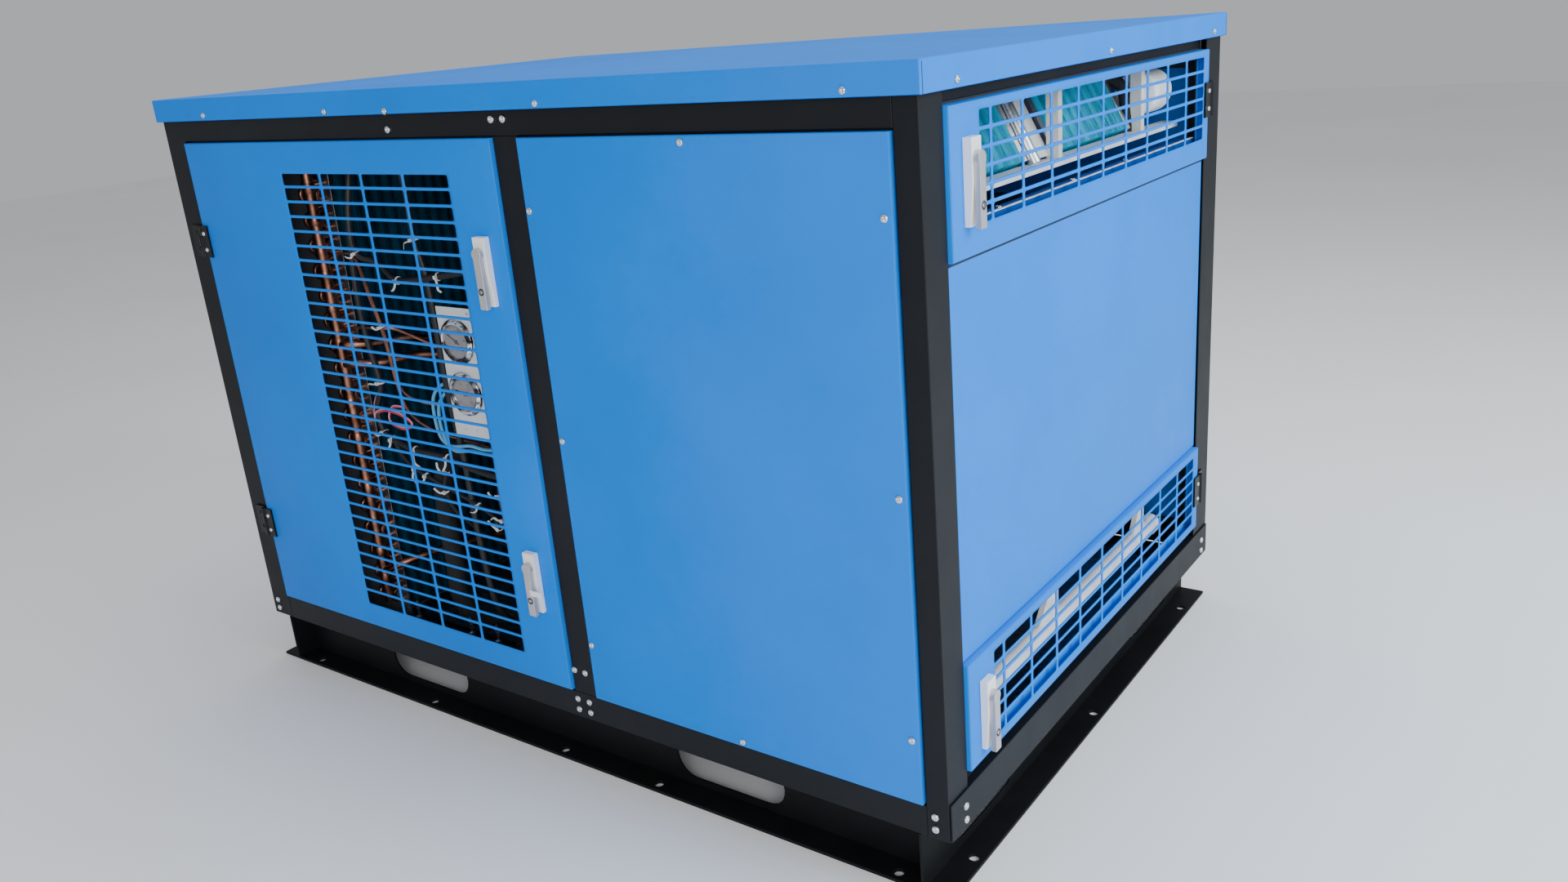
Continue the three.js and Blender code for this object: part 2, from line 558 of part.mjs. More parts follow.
function compressor() {
  const shell = [
    [0, 30], [80, 30], [95, 45], [95, 330], [88, 352], [70, 372], [40, 384], [0, 388],
  ].map(([r, z]) => new THREE.Vector2(r, z));
  const body = new THREE.LatheGeometry(shell, 18).rotateX(Math.PI / 2);
  const foot = block([-110, 110], [-110, 110], [0, 6]);
  const skirt = uprightRod(60, 0, 0, [4, 32], 16);
  const stubs = [
    depthRod(14, 0, 300, [-130, -80], 12),
    depthRod(11, 30, 200, [-125, -80], 12),
  ];
  add(dryer, 'compressor', join(body, foot, skirt, ...stubs), 'foam', [-180, -120, INSIDE_FLOOR]);
}

compressor();

// The insulated air-to-air and air-to-refrigerant exchanger, with both nozzles out at the rear.
function heatExchanger() {
  const frontY = 60;
  const backY = 400;
  const outY = HALF_DEPTH + OUTREACH;
  const core = block([260, 560], [frontY, backY], [INSIDE_FLOOR + 80, 930]);
  const legs = [270, 510].flatMap((x) => [frontY + 10, backY - 50].map((y) =>
    block([x, x + 40], [y, y + 40], [INSIDE_FLOOR, INSIDE_FLOOR + 90])));
  const nozzles = [NOZZLE.low, NOZZLE.high].flatMap((z) => [
    depthRod(NOZZLE.pipe, NOZZLE.x, z, [backY - 10, outY - 5], 20),
    depthRod(NOZZLE.flange, NOZZLE.x, z, [outY - NOZZLE.thick, outY], 20),
  ]);
  const bores = [NOZZLE.low, NOZZLE.high].map((z) =>
    depthRod(NOZZLE.bore, NOZZLE.x, z, [backY, outY + 1], 20));
  const holes = [NOZZLE.low, NOZZLE.high].flatMap((z) => spaced(45, 90, 4).map((angle) => {
    const turn = THREE.MathUtils.degToRad(angle);
    const holeX = NOZZLE.x + NOZZLE.bolts * Math.cos(turn);
    const holeZ = z + NOZZLE.bolts * Math.sin(turn);
    return depthRod(BOLT_HOLE_RADIUS, holeX, holeZ, [outY - NOZZLE.thick - 1, outY + 1], 8);
  }));
  add(dryer, 'heat_exchanger', cut(join(core, ...legs, ...nozzles), ...bores, ...holes), 'foam');
}

heatExchanger();

// ---- Fan ----------------------------------------------------------------------------------

function fanMotor() {
  const body = depthRod(70, FAN.x, FAN.z, [FAN.y - 110, FAN.y - 10], 20);
  const shaft = depthRod(8, FAN.x, FAN.z, [FAN.y - 20, FAN.y + FAN.width - 5], 12);
  const strap = block([FAN.x - 25, FAN.x + 25], [FAN.y - 114, FAN.y - 108], [INSIDE_FLOOR, 1120]);
  add(dryer, 'fan_motor', join(body, shaft, strap), 'steel');
}

function fanBlade() {
  const hub = depthRod(FAN.hub, 0, 0, [0, FAN.width], 20);
  const vanes = spaced(0, 360 / FAN.blades, FAN.blades).map((angle) => {
    const outline = polygon([
      [-30, FAN.hub - 10], [34, FAN.hub - 10], [70, FAN.radius * 0.7], [62, FAN.radius * 0.96],
      [10, FAN.radius * 0.985], [-66, FAN.radius * 0.93], [-52, FAN.radius * 0.6],
    ]);
    const vane = upright(outline, [-1.5, 1.5]).rotateZ(THREE.MathUtils.degToRad(24));
    return vane.rotateY(THREE.MathUtils.degToRad(angle)).translate(0, FAN.width / 2, 0);
  });
  const bore = depthRod(8.6, 0, 0, [-1, FAN.width + 1], 12);
  add(dryer, 'fan_blade', cut(join(hub, ...vanes), bore), 'foam', [FAN.x, FAN.y, FAN.z]);
}

fanMotor();
fanBlade();

// ---- Electrical ---------------------------------------------------------------------------

function electricalBox() {
  const frontY = -HALF_DEPTH + 40;
  const box = block([260, 640], [frontY, frontY + 160], [520, 1060]);
  const straps = [300, 560].map((x) =>
    block([x, x + 40], [frontY + 156, frontY + 160], [INSIDE_FLOOR, 530]));
  add(dryer, 'electrical_box', join(box, ...straps), 'steel');
}

electricalBox();

function cableGland() {
  const outer = -HALF_LENGTH - OUTREACH;
  const skin = -HALF_LENGTH - PROUD;
  const profile = [
    [8, 0], [14, 0], [18, 8], [18, 20], [22, 20], [22, -outer + skin - GAP],
    [8, -outer + skin - GAP],
  ].map(([r, y]) => new THREE.Vector2(r, y));
  profile.push(profile[0].clone());
  const collar = new THREE.LatheGeometry(profile, 16);
  add(left, 'cable_gland', collar, 'foam', [-GLAND.y, outer, GLAND.z]);
}

cableGland();

export default dryer;
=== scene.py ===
"""Visual model of an air-cooled refrigerated compressed-air dryer, built round its CAD frame."""

import math
import random

import bmesh
import bpy
from mathutils import Matrix, Vector


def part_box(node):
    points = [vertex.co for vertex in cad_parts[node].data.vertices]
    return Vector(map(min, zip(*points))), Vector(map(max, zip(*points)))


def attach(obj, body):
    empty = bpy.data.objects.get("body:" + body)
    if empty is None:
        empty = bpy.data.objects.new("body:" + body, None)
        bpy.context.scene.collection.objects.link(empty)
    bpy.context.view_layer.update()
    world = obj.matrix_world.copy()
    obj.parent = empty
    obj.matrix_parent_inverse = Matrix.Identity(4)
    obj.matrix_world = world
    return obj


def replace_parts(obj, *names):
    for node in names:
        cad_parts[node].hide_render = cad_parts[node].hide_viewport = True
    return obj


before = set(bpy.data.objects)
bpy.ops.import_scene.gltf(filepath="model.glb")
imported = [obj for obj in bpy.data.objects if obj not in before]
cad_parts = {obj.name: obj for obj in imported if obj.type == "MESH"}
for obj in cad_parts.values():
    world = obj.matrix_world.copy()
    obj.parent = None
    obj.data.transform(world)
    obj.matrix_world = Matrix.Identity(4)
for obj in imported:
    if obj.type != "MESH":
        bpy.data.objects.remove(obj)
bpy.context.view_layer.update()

MM = 0.001
random.seed(7)

# ---- Camera ----
# It stands off the front right corner, a little above the roof, as the object was seen.

CAMERA_PLACE = Vector((1.6693, -1.9998, 1.3154))
CAMERA_YAW = math.radians(36.784)      # turned to the left of straight ahead
CAMERA_PITCH = math.radians(18.732)    # tilted down
CAMERA_ROLL = math.radians(-4.778)
CAMERA_LENS = 28.784                   # on a sensor 36 mm wide


def add_camera():
    data = bpy.data.cameras.new("camera")
    data.lens = CAMERA_LENS
    data.sensor_width = 36.0
    data.clip_end = 100.0
    camera = bpy.data.objects.new("camera", data)
    bpy.context.scene.collection.objects.link(camera)
    ahead = Vector((
        -math.sin(CAMERA_YAW) * math.cos(CAMERA_PITCH),
        math.cos(CAMERA_YAW) * math.cos(CAMERA_PITCH),
        -math.sin(CAMERA_PITCH),
    ))
    level = Vector((math.cos(CAMERA_YAW), math.sin(CAMERA_YAW), 0.0))
    above = level.cross(ahead)
    right = math.cos(CAMERA_ROLL) * level + math.sin(CAMERA_ROLL) * above
    up = math.cos(CAMERA_ROLL) * above - math.sin(CAMERA_ROLL) * level
    turn = Matrix((right, up, -ahead)).transposed().to_4x4()
    camera.matrix_world = Matrix.Translation(CAMERA_PLACE) @ turn
    bpy.context.scene.camera = camera


# ---- Materials ----

MATERIALS = {}


class Nodes:
    """A material's node tree with short calls for the few nodes used here."""

    def __init__(self, name):
        self.material = bpy.data.materials.new(name)
        self.material.use_nodes = True
        self.tree = self.material.node_tree
        self.shader = self.tree.nodes["Principled BSDF"]
        self.place = self.tree.nodes.new("ShaderNodeTexCoord").outputs["Object"]
        MATERIALS[name] = self.material

    def link(self, source, target):
        self.tree.links.new(source, target)

    def set(self, **values):
        for key, value in values.items():
            self.shader.inputs[key.replace("_", " ")].default_value = value

    def fed(self, kind, source, socket, **values):
        """A new node with a source linked to one socket and constants in others."""
        node = self.tree.nodes.new("ShaderNode" + kind)
        for key, value in values.items():
            node.inputs[key.replace("_", " ")].default_value = value
        self.link(source, node.inputs[socket])
        return node

    def stretched(self, scale):
        return self.fed("Mapping", self.place, "Vector", Scale=scale).outputs["Vector"]

    def noise(self, scale, detail=3.0, rough=0.5, vector=None):
        place = vector or self.place
        node = self.fed("TexNoise", place, "Vector", Scale=scale, Detail=detail, Roughness=rough)
        return node.outputs["Fac"]

    def voronoi(self, scale):
        return self.fed("TexVoronoi", self.place, "Vector", Scale=scale).outputs["Color"]

    def bands(self, scale, direction, distortion):
        node = self.fed("TexWave", self.place, "Vector", Scale=scale, Distortion=distortion)
        node.bands_direction = direction
        return node.outputs["Fac"]

    def ramp(self, source, low, high, start=0.3, end=0.7):
        node = self.fed("ValToRGB", source, "Fac")
        for element, position, colour in zip(node.color_ramp.elements, (start, end), (low, high)):
            element.position = position
            element.color = (*colour, 1.0)
        return node.outputs["Color"]

    def span(self, source, low, high):
        return self.fed("MapRange", source, "Value", To_Min=low, To_Max=high).outputs["Result"]

    def blend(self, factor, first, second):
        node = self.tree.nodes.new("ShaderNodeMix")
        node.data_type = "RGBA"
        for source, socket in ((factor, 0), (first, 6), (second, 7)):
            self.link(source, node.inputs[socket])
        return node.outputs[2]

    def bump(self, source, strength, distance):
        node = self.fed("Bump", source, "Height", Strength=strength, Distance=distance)
        self.link(node.outputs["Normal"], self.shader.inputs["Normal"])

    def colour(self, source):
        self.link(source, self.shader.inputs["Base Color"])

    def roughness(self, source, low, high):
        self.link(self.span(source, low, high), self.shader.inputs["Roughness"])


def shade(colour, factor):
    return tuple(min(1.0, channel * factor) for channel in colour)


def powder_coat(name, colour, rough, grain, dust=0.0, spread=0.08, gloss=0.22):
    """Powder-coated sheet: a fine orange peel, slow drifts of colour and a little dust."""
    m = Nodes(name)
    drift = m.noise(3.0, 4.0, 0.6)
    tone = m.ramp(drift, shade(colour, 1.0 - spread), shade(colour, 1.0 + spread))
    if dust:
        grime = m.noise(9.0, 8.0, 0.7)
        pale = m.ramp(drift, (0.25, 0.25, 0.24), (0.33, 0.32, 0.30))
        tone = m.blend(m.span(grime, 0.0, dust), tone, pale)
    m.colour(tone)
    m.roughness(m.noise(14.0, 5.0, 0.6), rough - 0.06, rough + 0.08)
    m.bump(m.noise(grain, 2.0, 0.5), 0.10, 0.0006)
    m.set(Specular_IOR_Level=gloss)


def metal(name, colour, rough, stretch=(1.0, 1.0, 1.0), scale=180.0, spread=0.15, relief=0.08, bare=1.0):
    """Bare metal with stretched rolling or grinding marks and uneven polish."""
    m = Nodes(name)
    marks = m.noise(scale, 3.0, 0.6, m.stretched(stretch))
    m.colour(m.ramp(m.noise(22.0, 4.0), shade(colour, 1.0 - spread), shade(colour, 1.0 + spread)))
    m.roughness(marks, rough - 0.07, rough + 0.12)
    m.bump(marks, relief, 0.0004)
    m.set(Metallic=bare)


def chrome(name):
    """Polished chrome with painted reflections: its colour is broken into dark and bright patchwork that
    stands in for the dark machinery it mirrors.
    """
    m = Nodes(name)
    painted_reflection_patches = m.noise(46.0, 1.0, 0.3)
    m.colour(m.ramp(painted_reflection_patches, (0.06, 0.06, 0.062), (0.90, 0.90, 0.90), 0.44, 0.58))
    m.roughness(m.noise(300.0), 0.08, 0.16)
    m.set(Metallic=1.0)


def galvanised(name):
    """Hot-dip galvanised sheet with its spangle."""
    m = Nodes(name)
    spangle = m.voronoi(70.0)
    m.colour(m.ramp(spangle, (0.42, 0.44, 0.46), (0.66, 0.68, 0.70), 0.1, 0.9))
    m.roughness(m.noise(60.0), 0.30, 0.48)
    m.bump(m.noise(140.0), 0.06, 0.0005)
    m.set(Metallic=1.0)


def copper(name, fresh, aged):
    """Drawn copper tube, bright in places and browned by brazing in others."""
    m = Nodes(name)
    stain = m.noise(16.0, 7.0, 0.65)
    m.colour(m.ramp(stain, aged, fresh, 0.38, 0.62))
    m.roughness(m.noise(45.0, 4.0), 0.22, 0.5)
    m.bump(m.noise(120.0), 0.08, 0.0005)
    m.set(Metallic=1.0)


def fins(name, colour, direction, pitch_scale, metallic=0.35, valley_shade=0.35, crushed_fin_shade=0.6):
    """Coated aluminium fins: each with its rippled edge, some bent over. Painted shade darkens the ripple's
    valleys, and a painted shadow darkens the bent-over streaks.
    """
    m = Nodes(name)
    ripple = m.bands(pitch_scale, direction, 0.4)
    uneven = m.noise(11.0, 5.0, 0.6)
    tone = m.ramp(uneven, shade(colour, 0.7), shade(colour, 1.25))
    # A darker copy of the fin colour for the ripple's valleys: painted shade between the fins.
    dark = m.ramp(uneven, shade(colour, valley_shade * 0.7), shade(colour, valley_shade))
    # Streaks blended towards the shadow colour: painted shadow where fins are bent over.
    streaks = m.noise(150.0, 5.0, 0.75, m.stretched((0.05, 1.0, 0.05)))
    pressed_fin_shade = m.ramp(streaks, (crushed_fin_shade,) * 3, (0.0,) * 3, 0.36, 0.46)
    shadow = m.ramp(uneven, shade(colour, 0.16), shade(colour, 0.24))
    m.colour(m.blend(pressed_fin_shade, m.blend(ripple, dark, tone), shadow))
    m.roughness(uneven, 0.35, 0.6)
    m.bump(ripple, 0.5, 0.002)
    m.set(Metallic=metallic)


def moulded(name, colour, rough, grain=260.0, spread=0.12):
    """Moulded plastic or rubber with a fine grain."""
    m = Nodes(name)
    m.colour(m.ramp(m.noise(30.0, 4.0), shade(colour, 1.0 - spread), shade(colour, 1.0 + spread)))
    m.roughness(m.noise(80.0, 3.0), rough - 0.08, rough + 0.08)
    m.bump(m.noise(grain, 3.0), 0.15, 0.0006)


def foam(name, colour):
    """Closed-cell pipe and vessel insulation."""
    m = Nodes(name)
    cells = m.noise(320.0, 3.0, 0.7)
    m.colour(m.ramp(m.noise(8.0, 5.0), shade(colour, 0.6), shade(colour, 1.5)))
    m.roughness(cells, 0.78, 0.95)
    m.bump(cells, 0.35, 0.0015)


def gauge_glass(name):
    m = Nodes(name)
    m.set(Transmission_Weight=1.0, IOR=1.46, Base_Color=(0.97, 0.98, 0.98, 1.0))
    m.roughness(m.noise(20.0), 0.02, 0.06)


def floor_paint(name):
    m = Nodes(name)
    m.colour(m.ramp(m.noise(0.7, 4.0), (0.90, 0.90, 0.90), (0.94, 0.94, 0.94)))
    m.roughness(m.noise(2.0), 0.55, 0.7)


BLUE = (0.0, 0.205, 0.800)
powder_coat("cabinet_blue", BLUE, 0.48, 900.0, spread=0.05, gloss=0.07)
# A darker copy of the cabinet blue: painted shade for the flange behind the end slots.
powder_coat("flange_shade_blue", (0.0, 0.070, 0.34), 0.48, 900.0, spread=0.06, gloss=0.07)
powder_coat("frame_black", (0.0030, 0.0042, 0.0070), 0.50, 700.0, dust=0.02, spread=0.25)
powder_coat("skid_black", (0.0026, 0.0030, 0.0044), 0.52, 600.0, dust=0.03, spread=0.3, gloss=0.12)
powder_coat("hinge_black", (0.008, 0.008, 0.010), 0.34, 600.0, spread=0.3)
powder_coat("gauge_plate", (0.74, 0.77, 0.77), 0.38, 800.0, spread=0.03)
powder_coat("cream_paint", (0.74, 0.74, 0.70), 0.42, 500.0, spread=0.04)
powder_coat("ledge_white", (0.88, 0.87, 0.92), 0.36, 500.0, spread=0.03)
powder_coat("box_grey", (0.52, 0.54, 0.53), 0.45, 500.0, dust=0.06)
powder_coat("motor_paint", (0.14, 0.15, 0.16), 0.45, 500.0, dust=0.1)
powder_coat("compressor_paint", (0.010, 0.010, 0.012), 0.32, 500.0, dust=0.08, spread=0.3)
powder_coat("fan_metal", (0.016, 0.016, 0.018), 0.42, 600.0, dust=0.08, spread=0.3)
metal("latch_metal", (0.93, 0.92, 0.91), 0.34, (1.0, 1.0, 0.2), 200.0, 0.03, 0.02, 0.08)
metal("lever_metal", (0.50, 0.49, 0.50), 0.30, (1.0, 1.0, 0.2), 200.0, 0.08, 0.02, 0.45)
metal("screw_zinc", (0.72, 0.73, 0.75), 0.26, scale=500.0, spread=0.12)
chrome("gauge_chrome")
metal("bright_rail", (0.80, 0.81, 0.82), 0.28, (1.0, 0.1, 1.0), 260.0, 0.08)
metal("brass", (0.70, 0.50, 0.22), 0.30, scale=260.0)
metal("socket_dark", (0.10, 0.10, 0.11), 0.45, scale=300.0)
galvanised("galvanised")
copper("copper", (0.56, 0.25, 0.16), (0.12, 0.045, 0.028))
copper("capillary_copper", (0.60, 0.27, 0.19), (0.28, 0.11, 0.075))
fins("condenser_fin", (0.010, 0.120, 0.215), "Y", 90.0)
fins("coated_fin", (0.0, 0.64, 0.98), "Y", 90.0, 0.0, 0.75, 0.9)
foam("insulation", (0.014, 0.014, 0.015))
foam("white_foam", (0.74, 0.74, 0.71))
moulded("pipe_white", (0.88, 0.89, 0.94), 0.22, 200.0, 0.04)
moulded("tie_white", (0.80, 0.81, 0.80), 0.4)
moulded("cable_black", (0.012, 0.012, 0.014), 0.5)
moulded("wire_red", (0.62, 0.06, 0.10), 0.42)
moulded("wire_pink", (0.75, 0.30, 0.38), 0.42)
moulded("tube_blue", (0.10, 0.42, 0.74), 0.3)
moulded("gland_plastic", (0.02, 0.02, 0.022), 0.5)
moulded("grommet", (0.015, 0.015, 0.016), 0.6)
moulded("needle_black", (0.01, 0.01, 0.01), 0.4)
moulded("dial_ink", (0.03, 0.03, 0.035), 0.6)
moulded("dial_red", (0.55, 0.04, 0.03), 0.5)
moulded("dial_face", (0.50, 0.45, 0.46), 0.5, spread=0.04)
gauge_glass("gauge_glass")
floor_paint("floor")


# ---- Mesh helpers ----
# Shapes are built in millimetres, and a finished mesh is scaled to metres.

RIGHTWARD, INWARD, OUTWARD, UPWARD = (1, 0, 0), (0, 1, 0), (0, -1, 0), (0, 0, 1)
TOUCH = 1e-3      # how close two measures count as equal
WELD = 2e-6       # metres, for CAD meshes, which come in metres


def box(node):
    """A CAD node's two corners, in millimetres."""
    return [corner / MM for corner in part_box(node)]


def scaled_mesh(bm, name):
    bm.transform(Matrix.Scale(MM, 4))
    return plain_mesh(bm, name)


def plain_mesh(bm, name):
    mesh = bpy.data.meshes.new(name)
    bm.to_mesh(mesh)
    bm.free()
    return mesh


def link_piece(name, mesh, material, body, smooth_angle=35.0):
    """Links a mesh as a piece that rides on a CAD body."""
    piece = bpy.data.objects.new(name, mesh)
    bpy.context.scene.collection.objects.link(piece)
    mesh.materials.clear()
    mesh.materials.append(MATERIALS[material])
    mesh.shade_smooth()
    mesh.set_sharp_from_angle(angle=math.radians(smooth_angle))
    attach(piece, body)
    return piece


def add_piece(name, bm, material, body="cabinet", smooth_angle=35.0):
    """Ends a shape under construction as a piece."""
    bmesh.ops.recalc_face_normals(bm, faces=bm.faces)
    return link_piece(name, scaled_mesh(bm, name), material, body, smooth_angle)


def round_edges(piece, width, segments=2, angle=40.0):
    bevel = piece.modifiers.new("edges", "BEVEL")
    bevel.width = width * MM
    bevel.segments = segments
    bevel.limit_method = "ANGLE"
    bevel.angle_limit = math.radians(angle)
    bevel.harden_normals = True


def add_block(bm, low, high, turn=None):
    """A box between two corners, added to a shape under construction."""
    low, high = Vector(low), Vector(high)
    matrix = Matrix.Translation((low + high) / 2) @ Matrix.Diagonal((*(high - low), 1.0))
    if turn:
        matrix = turn @ matrix
    bmesh.ops.create_cube(bm, size=1.0, matrix=matrix)


def blocks(spans, turn=None):
    """A new shape of boxes, each given by its low and high corners."""
    bm = bmesh.new()
    for low, high in spans:
        add_block(bm, low, high, turn)
    return bm


def around(place, low, high):
    """A box's corners, given as steps from a place."""
    return Vector(place) + Vector(low), Vector(place) + Vector(high)


def add_lathe(bm, profile, place, axis, sides=24):
    """Spins (radius, height) points round an axis through place, and closes on the axis."""
    turn = Vector(UPWARD).rotation_difference(Vector(axis)).to_matrix().to_4x4()
    matrix = Matrix.Translation(Vector(place)) @ turn
    rings = []
    for radius, height in profile:
        count = sides if radius > 0 else 1
        rings.append([
            bm.verts.new(matrix @ Vector((
                radius * math.cos(2 * math.pi * i / sides),
                radius * math.sin(2 * math.pi * i / sides),
                height,
            )))
            for i in range(count)
        ])
    for first, second in zip(rings, rings[1:]):
        for i in range(sides):
            j = (i + 1) % sides
            corners = [first[i % len(first)], first[j % len(first)],
                       second[j % len(second)], second[i % len(second)]]
            unique = list(dict.fromkeys(corners))
            if len(unique) > 2:
                bm.faces.new(unique)


def lathe(profile, place, axis, sides=24):
    bm = bmesh.new()
    add_lathe(bm, profile, place, axis, sides)
    return bm


def disc(radius, height):
    """The profile of a plain disc for add_lathe."""
    return [(0, 0), (radius, 0), (radius, height), (0, height)]


def smooth_path(points, steps=6):
    """Catmull-Rom points through a given route."""
    points = [Vector(p) for p in points]
    if len(points) < 3:
        return points
    padded = [2 * points[0] - points[1], *points, 2 * points[-1] - points[-2]]
    path = []
    for p0, p1, p2, p3 in zip(padded, padded[1:], padded[2:], padded[3:]):
        for k in range(steps):
            t = k / steps
            path.append(0.5 * (
                2 * p1 + (p2 - p0) * t + (2 * p0 - 5 * p1 + 4 * p2 - p3) * t * t
                + (3 * p1 - 3 * p2 + p3 - p0) * t ** 3
            ))
    path.append(points[-1])
    return path


def join_rings(bm, rings):
    """Walls between rings of vertices, one after another."""
    for first, second in zip(rings, rings[1:]):
        for k in range(len(first)):
            j = (k + 1) % len(first)
            bm.faces.new([first[k], first[j], second[j], second[k]])


def add_tube(bm, points, radius, sides=10, smooth=True, flat=1.0):
    """A tube, or with flat below 1 a strap, along a route."""
    path = smooth_path(points) if smooth else [Vector(p) for p in points]
    side = None
    rings = []
    for i, point in enumerate(path):
        ahead = (path[min(i + 1, len(path) - 1)] - path[max(i - 1, 0)]).normalized()
        if side is None:
            side = ahead.orthogonal().normalized()
        side = (side - ahead * side.dot(ahead)).normalized()
        other = ahead.cross(side)
        rings.append([
            bm.verts.new(point + radius * (
                math.cos(2 * math.pi * k / sides) * side
                + flat * math.sin(2 * math.pi * k / sides) * other))
            for k in range(sides)
        ])
    join_rings(bm, rings)
    bm.faces.new(list(reversed(rings[0])))
    bm.faces.new(rings[-1])


def tube_piece(name, routes, radius, material, sides=10):
    bm = bmesh.new()
    for route in routes:
        add_tube(bm, route, radius, sides)
    add_piece(name, bm, material)


# ---- Cabinet faces ----
# Each face has its own turned axes: x to the right along it, y into the cabinet, z up.

FACE_TURN = {"front": 0.0, "right": 90.0, "rear": 180.0, "left": -90.0}
FACE_MATRIX = {
    name: Matrix.Rotation(math.radians(turn), 4, "Z") for name, turn in FACE_TURN.items()
}


def face_box(node, face):
    """A CAD node's box in a face's axes."""
    back = FACE_MATRIX[face].inverted()
    corners = [back @ corner for corner in box(node)]
    return (
        Vector([min(c[i] for c in corners) for i in range(3)]),
        Vector([max(c[i] for c in corners) for i in range(3)]),
    )


def outward(face):
    return FACE_MATRIX[face] @ Vector(OUTWARD)


def surface_of(node, face):
    """How far a node's skin lies from the middle of the cabinet."""
    return -face_box(node, face)[0].y


SHEET = 2.0            # sheet thickness
FOLD = 2.5             # outer radius of a folded edge
BAR_X, BAR_Z = 6.0, 5.0    # widths of the upright and the level bars between slots
WINDOW_MARGIN = 6.0    # from the outermost slots to the plain skin round them
SLOT_CORNER = 4.0
SLOT_CORNER_STEPS = 3
LIP = 15.0             # how far a door's sides turn in behind it


def add_cell(bm, corner, x0, x1, z0, z1, slot):
    """One cell of punched skin: a plain face, or a ring round a slot with rounded corners."""
    outer = [corner(x0, z0), corner(x1, z0), corner(x1, z1), corner(x0, z1)]
    if slot is None:
        bm.faces.new(outer)
        return
    sx0, sx1, sz0, sz1 = slot
    r = SLOT_CORNER
    y = outer[0].co.y
    centres = [
        (sx0 + r, sz0 + r, 180), (sx1 - r, sz0 + r, 270), (sx1 - r, sz1 - r, 0), (sx0 + r, sz1 - r, 90),
    ]
    arcs = []
    for cx, cz, begin in centres:
        arc = []
        for k in range(SLOT_CORNER_STEPS + 1):
            angle = math.radians(begin + 90 * k / SLOT_CORNER_STEPS)
            arc.append(bm.verts.new((cx + r * math.cos(angle), y, cz + r * math.sin(angle))))
        arcs.append(arc)
    for i in range(4):
        for first, second in zip(arcs[i], arcs[i][1:]):
            bm.faces.new([outer[i], second, first])
        j = (i + 1) % 4
        bm.faces.new([outer[i], outer[j], arcs[j][0], arcs[i][-1]])


def punched_skin(bm, y, xs, zs, window):
    """The flat of a sheet at y, cut into cells; returns the vertices of its border."""
    grid = {}

    def corner(x, z):
        key = (round(x, 3), round(z, 3))
        if key not in grid:
            grid[key] = bm.verts.new((x, y, z))
        return grid[key]

    for i, (x0, x1) in enumerate(zip(xs, xs[1:])):
        for j, (z0, z1) in enumerate(zip(zs, zs[1:])):
            slot = None
            if window and 0 < i < len(xs) - 2 and 0 < j < len(zs) - 2:
                wx0, _, wx1, wz0, _, wz1 = window
                slot = (
                    wx0 if i == 1 else x0 + BAR_X / 2,
                    wx1 if i == len(xs) - 3 else x1 - BAR_X / 2,
                    wz0 if j == 1 else z0 + BAR_Z / 2,
                    wz1 if j == len(zs) - 3 else z1 - BAR_Z / 2,
                )
            add_cell(bm, corner, x0, x1, z0, z1, slot)
    border = [corner(x, zs[0]) for x in xs] + [corner(xs[-1], z) for z in zs[1:]]
    border += [corner(x, zs[-1]) for x in reversed(xs[:-1])]
    return border + [corner(xs[0], z) for z in reversed(zs[1:-1])]


def folded_rings(bm, border, low, high, lip):
    """The rings that carry a sheet's border round its fold, down its side and in along its lip."""
    ix0, ix1, iz0, iz1 = low.x + FOLD, high.x - FOLD, low.z + FOLD, high.z - FOLD
    rings = [border]
    bends = [math.radians(angle) for angle in (30, 60, 90)]
    steps = [(FOLD * math.sin(bend), FOLD * (1 - math.cos(bend))) for bend in bends]
    for reach, drop in steps + [(FOLD, high.y - low.y)]:
        ring = []
        for vertex in border:
            x, y, z = vertex.co
            side_x = (x >= ix1 - TOUCH) - (x <= ix0 + TOUCH)
            side_z = (z >= iz1 - TOUCH) - (z <= iz0 + TOUCH)
            ring.append(bm.verts.new((x + side_x * reach, y + drop, z + side_z * reach)))
        rings.append(ring)
    if lip:
        rings.append([
            bm.verts.new((
                min(max(v.co.x, low.x + lip), high.x - lip), high.y,
                min(max(v.co.z, low.z + lip), high.z - lip),
            ))
            for v in rings[-1]
        ])
    return rings


def sheet_tray(name, node, face, body, window, lip):
    """A folded sheet-metal tray in place of a CAD panel, with punched slots round-cornered.

    window is (x start, x bars, x end, z start, z bars, z end) in the face's axes.
    """
    low, high = face_box(node, face)
    xs = [low.x + FOLD, high.x - FOLD]
    zs = [low.z + FOLD, high.z - FOLD]
    if window:
        wx0, x_bars, wx1, wz0, z_bars, wz1 = window
        xs[1:1] = [wx0 - WINDOW_MARGIN, *x_bars, wx1 + WINDOW_MARGIN]
        zs[1:1] = [wz0 - WINDOW_MARGIN, *z_bars, wz1 + WINDOW_MARGIN]
    bm = bmesh.new()
    border = punched_skin(bm, low.y, xs, zs, window)
    join_rings(bm, folded_rings(bm, border, low, high, lip))
    bmesh.ops.recalc_face_normals(bm, faces=bm.faces)
    if bm.faces[0].normal.y > 0:
        bmesh.ops.reverse_faces(bm, faces=bm.faces)
    bm.transform(FACE_MATRIX[face])
    piece = link_piece(name, scaled_mesh(bm, name), "cabinet_blue", body)
    solid = piece.modifiers.new("sheet", "SOLIDIFY")
    solid.thickness = SHEET * MM
    solid.offset = -1.0
    solid.use_even_offset = True
    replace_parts(piece, node)


